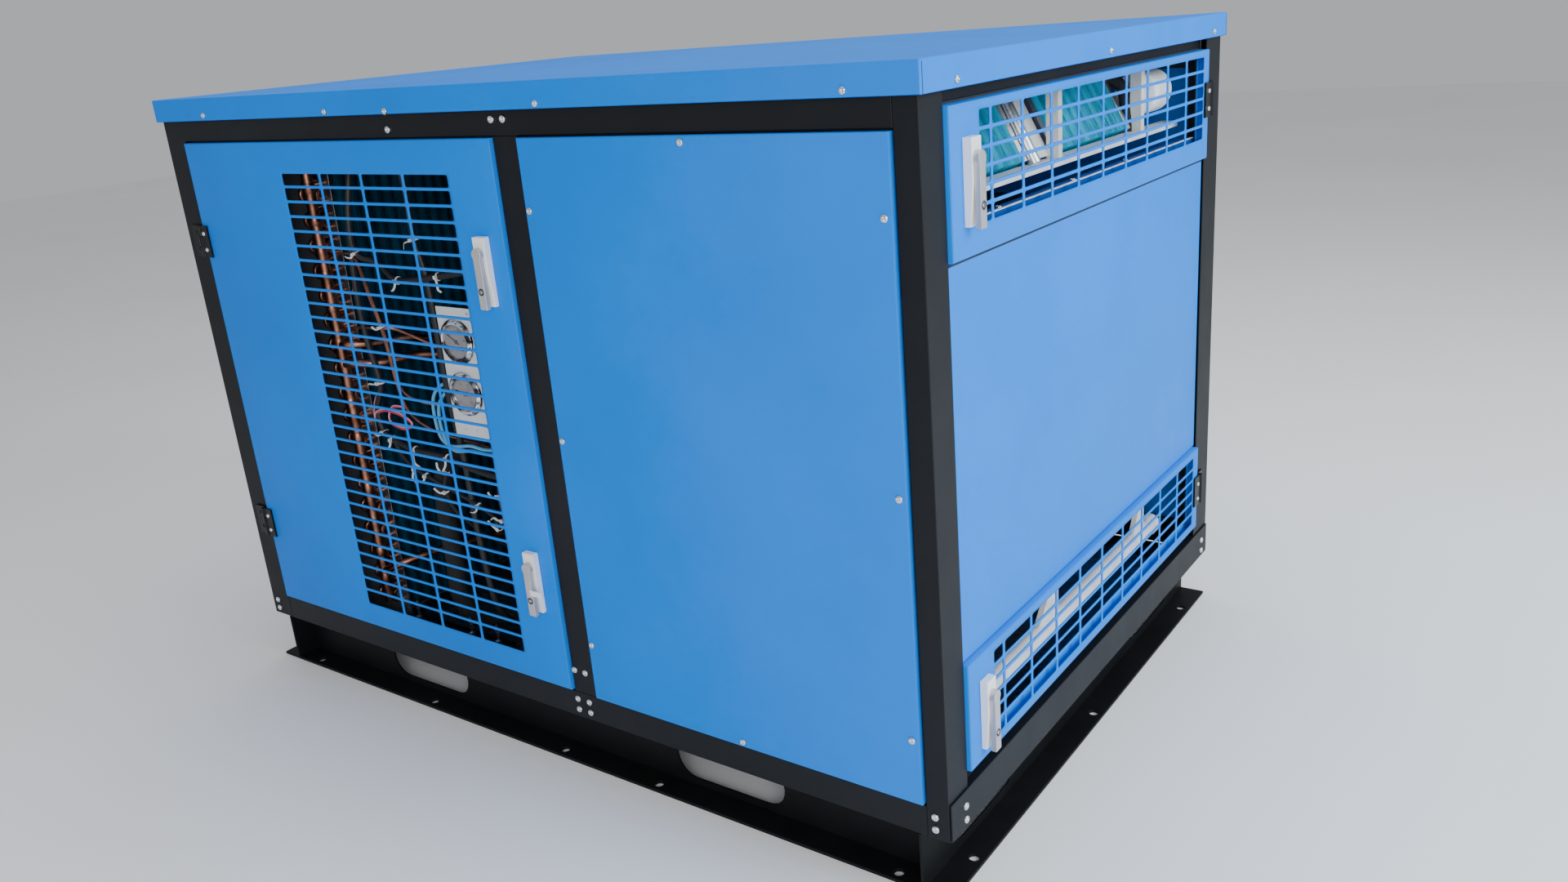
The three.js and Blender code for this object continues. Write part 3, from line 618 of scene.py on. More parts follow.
def polished(node, material, body="cabinet", width=1.0, segments=2, smooth_angle=30.0):
    """A CAD node's own shape with its edges softened and a finished material."""
    bm = bmesh.new()
    bm.from_mesh(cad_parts[node].data)
    bmesh.ops.remove_doubles(bm, verts=bm.verts, dist=WELD)
    bmesh.ops.dissolve_limit(bm, angle_limit=math.radians(1.0), verts=bm.verts, edges=bm.edges)
    name = node + "_shell"
    piece = link_piece(name, plain_mesh(bm, name), material, body, smooth_angle)
    round_edges(piece, width, segments, 35.0)
    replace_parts(piece, node)


# ---- Punched windows ----

def spaced(first, pitch, count):
    return [first + pitch * i for i in range(count)]


END_BARS = spaced(-416, 100.3, 9)
UPPER_ROWS = (1024, spaced(1049, 25.4, 5), 1176)
FRONT_WINDOW = (-492, [-376, -256, -140], -23, 217, spaced(249.8, 27.8, 31), 1108)
UPPER_WINDOW = (-451, END_BARS, 486, *UPPER_ROWS)
LOWER_WINDOW = (-451, END_BARS, 486, 216, spaced(241, 25, 5), 366)
LEFT_WINDOW = (-486, [-bar for bar in reversed(END_BARS)], 451, *UPPER_ROWS)
FAN_X, FAN_Z = -200.0, 640.0
FAN_WINDOW = (
    -FAN_X - 235, spaced(-FAN_X - 117.5, 117.5, 3), -FAN_X + 235,
    FAN_Z - 240, spaced(FAN_Z - 210, 30, 15), FAN_Z + 240,
)


# Each panel: the name of its skin, its CAD node, face, body, window and how deep its lip is.
PANELS = (
    ("front_door_skin", "front_door", "front", "front_door", FRONT_WINDOW, LIP),
    ("front_fixed_skin", "front_fixed_panel", "front", "cabinet", None, 0),
    ("upper_end_door_skin", "upper_end_door", "right", "upper_end_door", UPPER_WINDOW, LIP),
    ("middle_end_skin", "middle_end_panel", "right", "cabinet", None, 0),
    ("lower_end_door_skin", "lower_end_door", "right", "lower_end_door", LOWER_WINDOW, LIP),
    ("left_end_skin", "left_end_panel", "left", "cabinet", LEFT_WINDOW, 0),
    ("rear_fan_skin", "rear_fan_panel", "rear", "cabinet", FAN_WINDOW, 0),
    ("rear_pipe_skin", "rear_pipe_panel", "rear", "cabinet", None, 0),
)


def add_panels():
    for panel in PANELS:
        sheet_tray(*panel)


def add_frame():
    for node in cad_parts:
        if node.startswith("skid_rail"):
            polished(node, "skid_black", width=1.2)
        elif node.startswith(("corner_post", "centre_post", "bottom_beam", "top_beam")):
            polished(node, "frame_black", width=1.6, segments=3)
    polished("roof_cover", "cabinet_blue", width=2.5, segments=3)
    polished("floor_pan", "galvanised", width=0.5, segments=1)


# ---- Screws ----

def add_pan_head(bm, place, axis, radius):
    """A pan-head screw with a round recess, standing on a surface."""
    height = radius * 0.60
    dome = [(0, 0), (radius, 0), (radius, height * 0.35)]
    for degrees in (20, 40, 60, 80):
        angle = math.radians(degrees)
        dome.append((radius * (0.55 + 0.45 * math.cos(angle)), height * (0.35 + 0.65 * math.sin(angle))))
    dome += [(radius * 0.42, height), (radius * 0.16, height * 0.35), (0, height * 0.3)]
    add_lathe(bm, dome, place, axis, 16)


def screws(name, places, axis, radius, material="screw_zinc", body="cabinet"):
    bm = bmesh.new()
    for place in places:
        add_pan_head(bm, place, axis, radius)
    add_piece(name, bm, material, body)


def add_roof_seams():
    """Where the roof's end fascia laps its front and rear, and the notch over the top beam."""
    low, high = box("roof_cover")
    bm = blocks(
        ((x - 0.25, y - 0.7, low.z + 1), (x + 0.25, y + 0.7, high.z - 3))
        for x in (low.x, high.x) for y in (low.y + 6, high.y - 6)
    )
    add_lathe(bm, disc(5.5, 0.5), (-152, low.y + 0.2, low.z + 3), OUTWARD, 16)
    add_piece("roof_seams", bm, "grommet")


def grid(columns, rows):
    return [(x, z) for x in columns for z in rows]


POST_SCREWS = [
    (98, 1195), (125, 1195), (102, 209), (129, 209), (100, 148), (129, 148), (100, 126), (129, 126),
]
CORNER_SCREWS = [(850, 149), (850, 127), (-851, 145), (-851, 125)]
PANEL_SCREW, ROOF_SCREW, FRAME_SCREW = 6.0, 5.5, 6.5

# Each row: name, face, the CAD node the heads stand on, head radius and (x, z) places.
SCREW_ROWS = [
    ("front_panel_screws", "front", "front_fixed_panel", PANEL_SCREW, [
        (820, 1056), (820, 665), (820, 277.5), (163, 1052), (163, 664), (163, 277), (489, 1156), (492, 176),
    ]),
    ("roof_front_screws", "front", "roof_cover", ROOF_SCREW, [
        (-705, 1219), (-319, 1217), (-152, 1214), (211, 1217), (769, 1218),
    ]),
    ("roof_rear_screws", "rear", "roof_cover", ROOF_SCREW, grid((-705, -230, 230, 705), [1218])),
    ("roof_right_screws", "right", "roof_cover", ROOF_SCREW, grid((-515, 7, 531), [1220])),
    ("roof_left_screws", "left", "roof_cover", ROOF_SCREW, grid((-515, 7, 515), [1220])),
    ("front_frame_screws", "front", "bottom_beam_front", FRAME_SCREW,
     POST_SCREWS + CORNER_SCREWS + [(-163, 1183)]),
    ("rear_frame_screws", "rear", "bottom_beam_rear", FRAME_SCREW,
     [(-x, z) for x, z in POST_SCREWS] + CORNER_SCREWS),
    ("right_lap_screws", "right", "bottom_beam_right", FRAME_SCREW, grid((-554, 560), (149, 125))),
    ("left_lap_screws", "left", "bottom_beam_left", FRAME_SCREW, grid((-560, 554), (149, 125))),
    ("left_panel_screws", "left", "left_end_panel", PANEL_SCREW,
     grid((-506, 525), (230, 470, 720, 960, 1160)) + [(-170, 212), (190, 212)]),
    ("rear_fan_panel_screws", "rear", "rear_fan_panel", PANEL_SCREW,
     grid((-80, 792), (280, 665, 1050)) + [(360, 178), (360, 1154)]),
    ("rear_pipe_panel_screws", "rear", "rear_pipe_panel", PANEL_SCREW,
     grid((-820, -165), (280, 665, 1050)) + [(-490, 178), (-490, 1154)]),
]


def add_screws():
    for name, face, node, radius, spots in SCREW_ROWS:
        y = -surface_of(node, face)
        screws(name, [FACE_MATRIX[face] @ Vector((x, y, z)) for x, z in spots], outward(face), radius)


# ---- Latches and hinges ----

LATCHES = {
    "front_upper_latch": ("front", "front_door", "front_upper_lever"),
    "front_lower_latch": ("front", "front_door", "front_lower_lever"),
    "upper_end_latch": ("right", "upper_end_door", "upper_end_lever"),
    "lower_end_latch": ("right", "lower_end_door", "lower_end_lever"),
}
BARREL_FROM_BOTTOM = 31.0
BARREL_COLLAR = [(0, -2), (6.4, -2), (6.4, 0.5), (5.8, 1.0), (5.0, 0.4), (0, 0.3)]
BARREL_PLUG = [(0, 0), (3.4, 0), (3.0, 0.8), (0, 0.9)]


def barrel_spot(label, face):
    """Where a latch's lock stands on its lever, in the face's own axes."""
    low, _ = face_box(label + "_lever", face)
    base_low, base_high = face_box(label + "_base", face)
    return Vector(((base_low.x + base_high.x) / 2, low.y, low.z + BARREL_FROM_BOTTOM))


def add_latches():
    for label, (face, door, lever) in LATCHES.items():
        polished(label + "_base", "latch_metal", door, 1.4, 3)
        polished(label + "_lever", "lever_metal", lever, 1.3, 3)
        spot = barrel_spot(label, face)
        place, axis = FACE_MATRIX[face] @ spot, outward(face)
        add_piece(label + "_barrel", lathe(BARREL_COLLAR, place, axis), "socket_dark", lever)
        add_piece(label + "_plug", lathe(BARREL_PLUG, place, axis, 20), "screw_zinc", lever)
        keyway = blocks([around(spot, (-0.5, -1.1, -2.4), (0.5, -0.6, 2.4))], FACE_MATRIX[face])
        add_piece(label + "_keyway", keyway, "socket_dark", lever)


def add_lock_cover():
    """The lower front latch's dust cover, swung aside from its lock on a rivet."""
    lever = "front_lower_lever"
    spot = barrel_spot("front_lower_latch", "front")
    cover = blocks([around(spot, (3.0, -1.5, 12.0), (33.0, -0.2, 23.0))])
    round_edges(add_piece("lock_cover", cover, "ledge_white", lever), 0.6, 3)
    bm = lathe([(0, 0), (1.6, 0), (1.2, 0.7), (0, 0.9)], spot + Vector((6.2, -1.5, 17.5)), OUTWARD, 12)
    add_lathe(bm, disc(1.4, 5.0), spot + Vector((6.2, 4.5, 17.5)), OUTWARD, 10)
    add_piece("lock_cover_rivets", bm, "screw_zinc", lever)


# Each hinge: its face, its door, and which way along x its knuckle lies from the frame leaf.
HINGES = {
    "front_upper_hinge": ("front", "front_door", 1),
    "front_lower_hinge": ("front", "front_door", 1),
    "upper_end_hinge": ("right", "upper_end_door", -1),
    "lower_end_hinge": ("right", "lower_end_door", -1),
}
LEAF_THICKNESS = 4.4
FRAME_STEP = 6.5


def add_hinges():
    for label, (face, door, knuckle) in HINGES.items():
        door_y = -surface_of(door, face) - LEAF_THICKNESS
        for leaf, body, y, x_step, screw in (
            ("_frame_leaf", "cabinet", door_y + FRAME_STEP, -5 * knuckle, "hinge_black"),
            ("_door_leaf", door, door_y, 5 * knuckle, "screw_zinc"),
        ):
            node = label + leaf
            polished(node, "hinge_black", body)
            low, high = face_box(node, face)
            x = (low.x + high.x) / 2 + x_step
            places = [FACE_MATRIX[face] @ Vector((x, y, z)) for z in (low.z + 16, high.z - 16)]
            screws(node + "_screws", places, outward(face), 4.6, screw, body)


# ---- Gauges ----

GAUGES = ("high_side", "low_side")
GAUGE_PROFILE = [
    (0, -26), (31.6, -26), (32, -25.6), (32, 0), (42.5, 0), (42.5, 2.4), (41.9, 3.8), (40.6, 5.0),
    (38.8, 6.0), (37.6, 7.1), (36.2, 7.8), (34.8, 8.0), (33.4, 7.8), (32.4, 7.0), (31.7, 5.2),
    (31.0, 3.0), (30, 2.0), (0, 2.0),
]
GLASS_PROFILE = [(0, 0), (31.5, 0), (31.5, 0.6), (24, 1.3), (12, 1.7), (0, 1.8)]
STEM_PROFILE = [(0, 0), (8, 0), (8, 12), (4, 14), (4, 26), (0, 26)]
DIAL_RADIUS = 29.0
SCALE_START = -135.0
SCALE_SWEEP = 270.0
SCALE_STEPS = 50
NUMERALS = range(0, 26, 5)


def dial_point(centre, radius, angle, y):
    turn = math.radians(angle)
    return Vector((centre.x + radius * math.sin(turn), y, centre.z + radius * math.cos(turn)))


def add_numeral(bm, text, place, size):
    data = bpy.data.curves.new("numeral", "FONT")
    data.body = text
    data.size = size
    data.align_x = "CENTER"
    data.align_y = "CENTER"
    data.extrude = 0.05
    source = bpy.data.objects.new("numeral", data)
    bpy.context.scene.collection.objects.link(source)
    bpy.context.view_layer.update()
    mesh = bpy.data.meshes.new_from_object(source.evaluated_get(bpy.context.evaluated_depsgraph_get()))
    bpy.data.objects.remove(source)
    mesh.transform(Matrix.Translation(place) @ Matrix.Rotation(math.radians(90), 4, "X"))
    bm.from_mesh(mesh)
    bpy.data.meshes.remove(mesh)


def add_scale(label, centre, y):
    """The printed rim of a dial: its marks and arc, its numbers and its red band."""
    ink = bmesh.new()
    for step in range(SCALE_STEPS + 1):
        angle = SCALE_START + SCALE_SWEEP * step / SCALE_STEPS
        length, width = (5.0, 0.55) if step % 10 == 0 else (2.6, 0.28)
        turn = Matrix.Translation((centre.x, y, centre.z)) @ Matrix.Rotation(math.radians(angle), 4, "Y")
        add_block(ink, (-width / 2, 0, DIAL_RADIUS - length), (width / 2, 0.1, DIAL_RADIUS), turn)
    arc = [dial_point(centre, DIAL_RADIUS - 0.3, SCALE_START + SCALE_SWEEP * k / 40, y) for k in range(41)]
    add_tube(ink, arc, 0.25, 4, smooth=False)
    add_piece(label + "_scale", ink, "dial_ink")
    bm = bmesh.new()
    for number in NUMERALS:
        angle = SCALE_START + SCALE_SWEEP * number / NUMERALS[-1]
        add_numeral(bm, str(number), dial_point(centre, DIAL_RADIUS - 9, angle, y), 6.0)
    link_piece(label + "_numerals", scaled_mesh(bm, label + "_numerals"), "dial_ink", "cabinet")
    red = bmesh.new()
    arc = [dial_point(centre, DIAL_RADIUS + 1, 60 + 75 * k / 16, y) for k in range(17)]
    add_tube(red, arc, 0.5, 4, smooth=False)
    add_piece(label + "_red_band", red, "dial_red")


def add_gauge(label):
    low, high = box(label + "_gauge")
    centre = (low + high) / 2
    bm = lathe(GAUGE_PROFILE, (centre.x, low.y + 8, centre.z), OUTWARD, 96)
    case = add_piece(label + "_case", bm, "gauge_chrome", "cabinet", 50.0)
    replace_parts(case, label + "_gauge")
    dial_y = low.y + 5.6
    dial = lathe(disc(31, 0.3), (centre.x, dial_y + 0.3, centre.z), OUTWARD, 48)
    add_piece(label + "_dial", dial, "dial_face")
    add_scale(label, centre, dial_y - 0.1)
    glass = lathe(GLASS_PROFILE, (centre.x, low.y + 2, centre.z), OUTWARD, 48)
    add_piece(label + "_glass", glass, "gauge_glass")
    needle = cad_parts[label + "_needle"].data
    needle.materials.clear()
    needle.materials.append(MATERIALS["needle_black"])
    spots = [dial_point(centre, 38.5, angle, low.y + 4) for angle in (45, 165, 285)]
    screws(label + "_gauge_screws", spots, OUTWARD, 2.2)
    stem = lathe(STEM_PROFILE, (centre.x, high.y, centre.z), INWARD, 16)
    add_piece(label + "_gauge_stem", stem, "brass")


def add_gauges():
    polished("gauge_panel", "gauge_plate", width=0.6)
    y = box("gauge_panel")[0].y
    spots = [(x, y, z) for x, z in ((-138, 634), (-106, 634), (-158, 857), (-84, 857))]
    screws("gauge_panel_screws", spots, OUTWARD, 2.6)
    for label in GAUGES:
        add_gauge(label)


# ---- Condenser and copper ----

FIN_THICKNESS = 0.5
FIN_PITCH = 4.0
TUBE_RADIUS = 4.8
TUBE_PITCH = 25.4


def add_fins(bm, y_span, pitch, sway, x_span, z_span, turn=None):
    """Thin upright plates along y, each a little off its place."""
    y, end = y_span
    while y < end + TOUCH:
        at = y + random.uniform(-sway, sway)
        add_block(bm, (x_span[0], at, z_span[0]), (x_span[1], at + FIN_THICKNESS, z_span[1]), turn)
        y += pitch


def add_condenser():
    low, high = box("condenser_coil")
    bm = bmesh.new()
    add_fins(bm, (low.y + 4, high.y - 4), FIN_PITCH, 0.3, (low.x + 3, high.x - 3), (low.z + 48, high.z - 4))
    add_block(bm, (low.x + 9, low.y + 2, low.z + 52), (high.x - 9, high.y - 2, high.z - 8))
    fins_piece = add_piece("condenser_fins", bm, "condenser_fin", "cabinet")
    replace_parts(fins_piece, "condenser_coil")
    plates = [((low.x, y, low.z), (high.x, y + 2, high.z)) for y in (low.y, high.y - 2)]
    plates += [
        ((low.x, low.y + 2.2, z), (high.x, high.y - 2.2, z + 2)) for z in (low.z + 44, high.z - 3)
    ]
    round_edges(add_piece("condenser_casing", blocks(plates), "galvanised"), 0.5, 1)
    add_return_bends(low, high)
    add_header(low, high)


def add_return_bends(low, high):
    """The hairpin bends that join the coil's tubes in pairs at both of its ends."""
    bm = bmesh.new()
    rows = int((high.z - low.z - 80) / TUBE_PITCH)
    columns = [low.x + 18, (low.x + high.x) / 2, high.x - 18]
    half = TUBE_PITCH / 2
    for end, sign in ((low.y, -1), (high.y, 1)):
        for c, x in enumerate(columns):
            for row in range(0 if sign < 0 else 1, rows - 1, 2):
                z = low.z + 66 + (c % 2) * half + row * TUBE_PITCH
                reach = random.uniform(15, 19)
                swing = random.uniform(-3, 3)
                root, neck = end - sign * 4, end + sign * reach * 0.6
                arc = [(x, root, z), (x, neck, z)]
                for degrees in (-60, -30, 0, 30, 60):
                    across, up = math.cos(math.radians(degrees)), math.sin(math.radians(degrees))
                    arc.append((x + swing * across, neck + sign * half * across, z + half + half * up))
                arc += [(x, neck, z + TUBE_PITCH), (x, root, z + TUBE_PITCH)]
                add_tube(bm, arc, TUBE_RADIUS, 8, smooth=False)
    add_piece("condenser_return_bends", bm, "copper", smooth_angle=60)


STUB_COUNT, STUB_FOOT, STUB_PITCH = 33, 222, 27.6
COLLAR_HEIGHTS = (250, 312, 455, 566, 640, 724, 766, 838, 902, 1010, 1072)


def add_header(low, high):
    """The vertical copper header in front of the coil's end, with its stubs and collars."""
    x, y = high.x - 3, low.y - 44
    route = [(x, y, 196), (x - 1, y, 420), (x + 1, y, 760), (x, y, 1128)]
    tube_piece("hot_gas_header", [route], 11, "copper", 16)
    stubs = []
    for k in range(STUB_COUNT):
        z = STUB_FOOT + STUB_PITCH * k + random.uniform(-2, 2)
        reach = random.uniform(20, 27)
        far = x - reach
        foot = z - random.uniform(4, 9)
        stubs.append([(x, y, z), (x - reach * 0.7, y + 2, z), (far, y + 16, foot), (far, low.y, foot)])
    tube_piece("header_stubs", stubs, 4.9, "copper")
    bm = bmesh.new()
    for k, z in enumerate(COLLAR_HEIGHTS):
        size = 12.6 if k % 2 else 12.1
        add_lathe(bm, [(10.6, -11), (size, -8), (size, 8), (10.6, 11)], (x, y, z), UPWARD, 16)
    add_piece("header_collars", bm, "copper", smooth_angle=60)


ROOF_UNDERSIDE = 1238


def add_baffle():
    """Sheets that make the air pass through the coil and not round its end."""
    low, high = box("condenser_coil")
    front, back, top = low.y + 6, low.y + 8, high.z + 1
    bm = blocks([
        ((-858, front, 114), (low.x - 1, back, ROOF_UNDERSIDE)),
        ((low.x - 1, front, top), (high.x, back, ROOF_UNDERSIDE)),
        ((low.x + 4, low.y + 10, top), (low.x + 6, high.y - 10, ROOF_UNDERSIDE)),
    ])
    round_edges(add_piece("coil_baffles", bm, "motor_paint"), 0.4, 1)


# ---- Cables and thin tubes ----
# Routes are given points in millimetres.

HIGH_STEM, LOW_STEM = (-121, -511, 803), (-121, -511, 704)
CABLE_RADIUS, BRANCH_RADIUS, CAPILLARY_RADIUS = 6.5, 4.2, 2.4

CAPILLARY_HIGH = [
    (-500, -538, 930), (-440, -548, 948), (-398, -548, 938), (-374, -548, 868), (-352, -548, 795),
    (-338, -548, 700), (-300, -544, 668), (-215, -534, 664), (-160, -520, 700), (-126, -498, 780),
    HIGH_STEM,
]
CAPILLARY_LOW = [
    (-503, -546, 876), (-430, -548, 870), (-407, -545, 936), (-383, -545, 866), (-361, -545, 793),
    (-347, -545, 698), (-322, -546, 640), (-262, -538, 606), (-214, -470, 560), (-190, -330, 470),
    (-184, -212, 430),
]
CAPILLARY_BRANCH = [
    (-506, -548, 788), (-450, -548, 800), (-396, -548, 804), (-354, -547, 806), (-330, -530, 800),
    (-250, -500, 760), (-150, -490, 712), LOW_STEM,
]
CABLES = [
    [(-396, -500, 1196), (-396, -528, 1100), (-400, -546, 1010), (-396, -546, 950), (-352, -532, 930),
     (-288, -542, 902), (-168, -544, 916), (-60, -528, 930), (60, -510, 930), (180, -490, 900),
     (264, -480, 890)],
    [(-219, -592, 1206), (-219, -560, 1150), (-219, -545, 1080), (-218, -545, 982), (-205, -541, 900),
     (-196, -545, 700), (-188, -540, 560), (-176, -544, 380), (-172, -520, 220), (-176, -400, 150),
     (-180, -300, 130), (-182, -214, 160)],
    [(-402, -546, 1000), (-413, -549, 880), (-410, -548, 780), (-398, -545, 692), (-417, -548, 640),
     (-412, -549, 594), (-385, -549, 577), (-322, -547, 562), (-228, -546, 558), (-150, -544, 542),
     (-60, -534, 534), (80, -500, 540), (264, -480, 580)],
]
BRANCHES = [
    [(-385, -549, 577), (-362, -549, 542), (-330, -549, 522), (-300, -549, 512), (-230, -546, 490),
     (-160, -546, 470), (-124, -545, 452), (-110, -546, 432)],
    [(-228, -546, 558), (-238, -547, 528), (-250, -547, 486), (-246, -520, 420), (-216, -420, 320),
     (-188, -214, 270)],
    [(-92, -538, 536), (-97, -546, 500), (-90, -548, 456), (-110, -546, 432), (-146, -470, 396),
     (-172, -240, 380), (-178, -214, 378)],
]
RED_LOOP = [
    (-398, -538, 690), (-424, -546, 650), (-432, -549, 612), (-418, -552, 628), (-385, -550, 636),
    (-340, -548, 628), (-320, -546, 612), (-350, -548, 602), (-392, -544, 612), (-380, -540, 640),
    (-342, -533, 642),
]
SWITCH_LEADS = [
    [(-128, -532, 652), (-150, -512, 680), (-205, -532, 708), (-238, -548, 680), (-238, -550, 612),
     (-214, -548, 586), (-150, -550, 594), (-98, -548, 592), (20, -520, 600), (160, -490, 620),
     (264, -470, 640)],
    [(-116, -532, 652), (-140, -506, 684), (-196, -526, 700), (-226, -546, 668), (-228, -548, 612),
     (-206, -546, 577), (-150, -550, 584), (-96, -546, 582), (20, -516, 580), (160, -486, 600),
     (264, -460, 620)],
]


def add_capillaries():
    """Twin capillary tubes that run from the coil to the gauges."""
    tube_piece("capillary_high", [CAPILLARY_HIGH], CAPILLARY_RADIUS, "capillary_copper", 8)
    tube_piece("capillary_low", [CAPILLARY_LOW], CAPILLARY_RADIUS, "capillary_copper", 8)
    tube_piece("capillary_branch", [CAPILLARY_BRANCH], 3.0, "capillary_copper", 8)


def add_wiring():
    """Cables behind the door, a red loop and the pale-blue leads of the pressure switch."""
    tube_piece("cable_bundles", CABLES, CABLE_RADIUS, "cable_black", 10)
    tube_piece("cable_branches", BRANCHES, BRANCH_RADIUS, "cable_black", 8)
    tube_piece("red_wire_loop", [RED_LOOP], 2.0, "wire_red", 8)
    beside = [Vector(point) + Vector((4, -3, 5)) for point in RED_LOOP[1:-1]]
    tube_piece("pink_wire_loop", [[RED_LOOP[0], *beside, RED_LOOP[-1]]], 1.7, "wire_pink", 8)
    tube_piece("control_tubes", SWITCH_LEADS, 3.4, "tube_blue", 10)
    bm = blocks([((-144, -558, 640), (-100, -532, 664))])
    round_edges(add_piece("pressure_switch", bm, "cable_black"), 2.0, 2)


TIE_SPOTS = [
    (-400, 952), (-219, 982), (-288, 903), (-167, 916), (-398, 692), (-352, 806), (-412, 590), (-385, 578),
    (-322, 562), (-228, 560), (-236, 530), (-330, 520), (-300, 512), (-160, 470), (-96, 500), (-90, 452),
    (-250, 486), (-110, 430),
]


def cable_frame(spot):
    """The nearest cable to a spot: its radius, and axes with Z along the cable and -Y outward."""
    found = []
    groups = ((CABLE_RADIUS, CABLES), (BRANCH_RADIUS, BRANCHES), (2.0 * CAPILLARY_RADIUS, [CAPILLARY_HIGH]))
    for radius, routes in groups:
        for points in routes:
            line = smooth_path(points)
            for before, at, after in zip(line, line[1:], line[2:]):
                away = (at.xz - Vector(spot)).length
                found.append((away, radius, at, after - before))
    _, radius, place, along = min(found, key=lambda entry: entry[0])
    along = along.normalized()
    back = Vector(INWARD)
    back = (back - along * back.dot(along)).normalized()
    axes = Matrix((back.cross(along), back, along)).transposed().to_4x4()
    return radius, Matrix.Translation(place) @ axes


def add_ties():
    """Cable ties: a box-shaped head, the band round the cable and a curled free end."""
    bm = bmesh.new()
    for spot in TIE_SPOTS:
        radius, turn = cable_frame(spot)
        front = -radius - 2
        add_block(bm, (-3.2, front - 3, -3), (3.2, front + 2.4, 3), turn)
        length = random.uniform(14, 30)
        curl = random.uniform(0.2, 0.8) * random.choice((-1, 1))
        tail = [
            (0, front, 0),
            (length * 0.4, front - 2, length * 0.1),
            (length * 0.8, front - 3, -length * curl * 0.3),
            (length, front - 3, -length * curl),
        ]
        add_tube(bm, [turn @ Vector(point) for point in tail], 1.9, 6, flat=0.35)
        reach = radius + 0.8
        angles = [math.radians(degrees) for degrees in range(0, 361, 30)]
        band = [turn @ Vector((math.cos(angle) * reach, math.sin(angle) * reach, 0)) for angle in angles]
        add_tube(bm, band, 1.7, 6, smooth=False, flat=0.45)
    add_piece("cable_ties", bm, "tie_white")


# ---- Refrigerant circuit ----

VALVE_PROFILE = [
    (0, 0), (7, 0), (7, 5), (3, 7), (3, 22), (5, 23), (5, 31), (2.4, 33), (2.4, 40), (0, 40),
]
RECEIVER_PROFILE = [(0, 0), (40, 4), (58, 16), (60, 24), (60, 278), (58, 286), (40, 298), (0, 302)]
EXPANSION_PROFILE = [
    (0, -26), (10, -26), (10, -14), (15, -12), (15, 12), (10, 14), (10, 22), (22, 24), (24, 30), (22, 36),
    (0, 38),
]
DRAIN_PROFILE = [(0, 0), (34, 0), (36, 4), (36, 44), (30, 50), (12, 52), (12, 72), (0, 72)]
SHROUD_PROFILE = [
    (238, 0), (238, 44), (243, 52), (254, 58), (254, 60), (241, 54), (236, 46), (236, 0), (238, 0),
]
RECEIVER_X, RECEIVER_Y = -340, 170
DRIER_START, DRIER_LENGTH = (-290, 60, 560), 130
EXPANSION_PLACE = (222, 50, 704)

SUCTION_LINE = [
    (-184, -212, 190), (-230, -330, 150), (-300, -470, 160), (-324, -500, 220), (-324, -500, 300),
    (-318, -500, 470), (-290, -470, 540), (-200, -360, 590), (0, -150, 620), (262, 100, 630),
]
DISCHARGE_LINE = [
    (-180, -120, 495), (-180, -120, 560), (-214, -176, 610), (-300, -320, 690), (-393, -428, 720),
    (-433, -518, 722), (-469, -546, 726), (-503, -548, 720),
]
CONDENSATE_LINES = [
    [(-503, -548, 762), (-473, -546, 764), (-443, -508, 760), (-423, -418, 750), (-400, -260, 680),
     (-372, 0, 520), (-345, 150, 470), (RECEIVER_X, RECEIVER_Y, 425)],
    [(-503, -548, 268), (-477, -548, 276), (-441, -528, 292), (-407, -438, 296), (-390, -200, 260),
     (-360, 40, 230), (-344, 116, 220)],
]
LIQUID_LINES = [
    [(-320, 170, 425), (-318, 160, 500), (-312, 110, 550), DRIER_START],
    [(-160, 60, 560), (-60, 50, 580), (80, 40, 660), (170, 40, 700), EXPANSION_PLACE],
    [EXPANSION_PLACE, (244, 66, 704), (262, 90, 704)],
]


def add_service_valves():
    """Three drain and service valves that stand behind the lowest slots."""
    bm = bmesh.new()
    for x in (-407, -242, -164):
        add_lathe(bm, VALVE_PROFILE, (x, -551, 176), UPWARD, 14)
        add_block(bm, (x - 9, -553, 201), (x + 9, -549, 205))
    add_piece("service_valves", bm, "screw_zinc")
    spans = [((-440, -568, 173), (-130, -534, 176)), ((-440, -568, 150), (-130, -565, 173))]
    spans += [((x, -565, 112), (x + 3, -536, 173)) for x in (-438, -290, -135)]
    round_edges(add_piece("valve_bracket", blocks(spans), "skid_black"), 0.8, 1)


def add_circuit():
    """The refrigerant circuit: compressor, coil, receiver, drier, valve, exchanger and back."""
    tube_piece("suction_line", [SUCTION_LINE], 19, "insulation", 16)
    tube_piece("discharge_line", [DISCHARGE_LINE], 8.5, "copper", 12)
    tube_piece("condensate_line", CONDENSATE_LINES, 8.0, "copper", 12)
    tube_piece("liquid_line", LIQUID_LINES, 5.0, "copper", 10)
    bm = lathe(RECEIVER_PROFILE, (RECEIVER_X, RECEIVER_Y, 124), UPWARD, 28)
    for foot in (RECEIVER_X - 50, RECEIVER_X + 50):
        add_block(bm, (foot - 12, RECEIVER_Y - 20, 112), (foot + 12, RECEIVER_Y + 20, 146))
    add_piece("liquid_receiver", bm, "compressor_paint")
    half = [(0, 0), (8, 0), (8, 12), (24, 20), (30, 30)]
    profile = half + [(radius, DRIER_LENGTH - height) for radius, height in reversed(half)]
    add_piece("filter_drier", lathe(profile, DRIER_START, RIGHTWARD), "box_grey")
    add_piece("expansion_valve", lathe(EXPANSION_PROFILE, EXPANSION_PLACE, UPWARD, 18), "brass")
    add_piece("float_drain", lathe(DRAIN_PROFILE, (410, 220, 120), UPWARD), "gland_plastic")


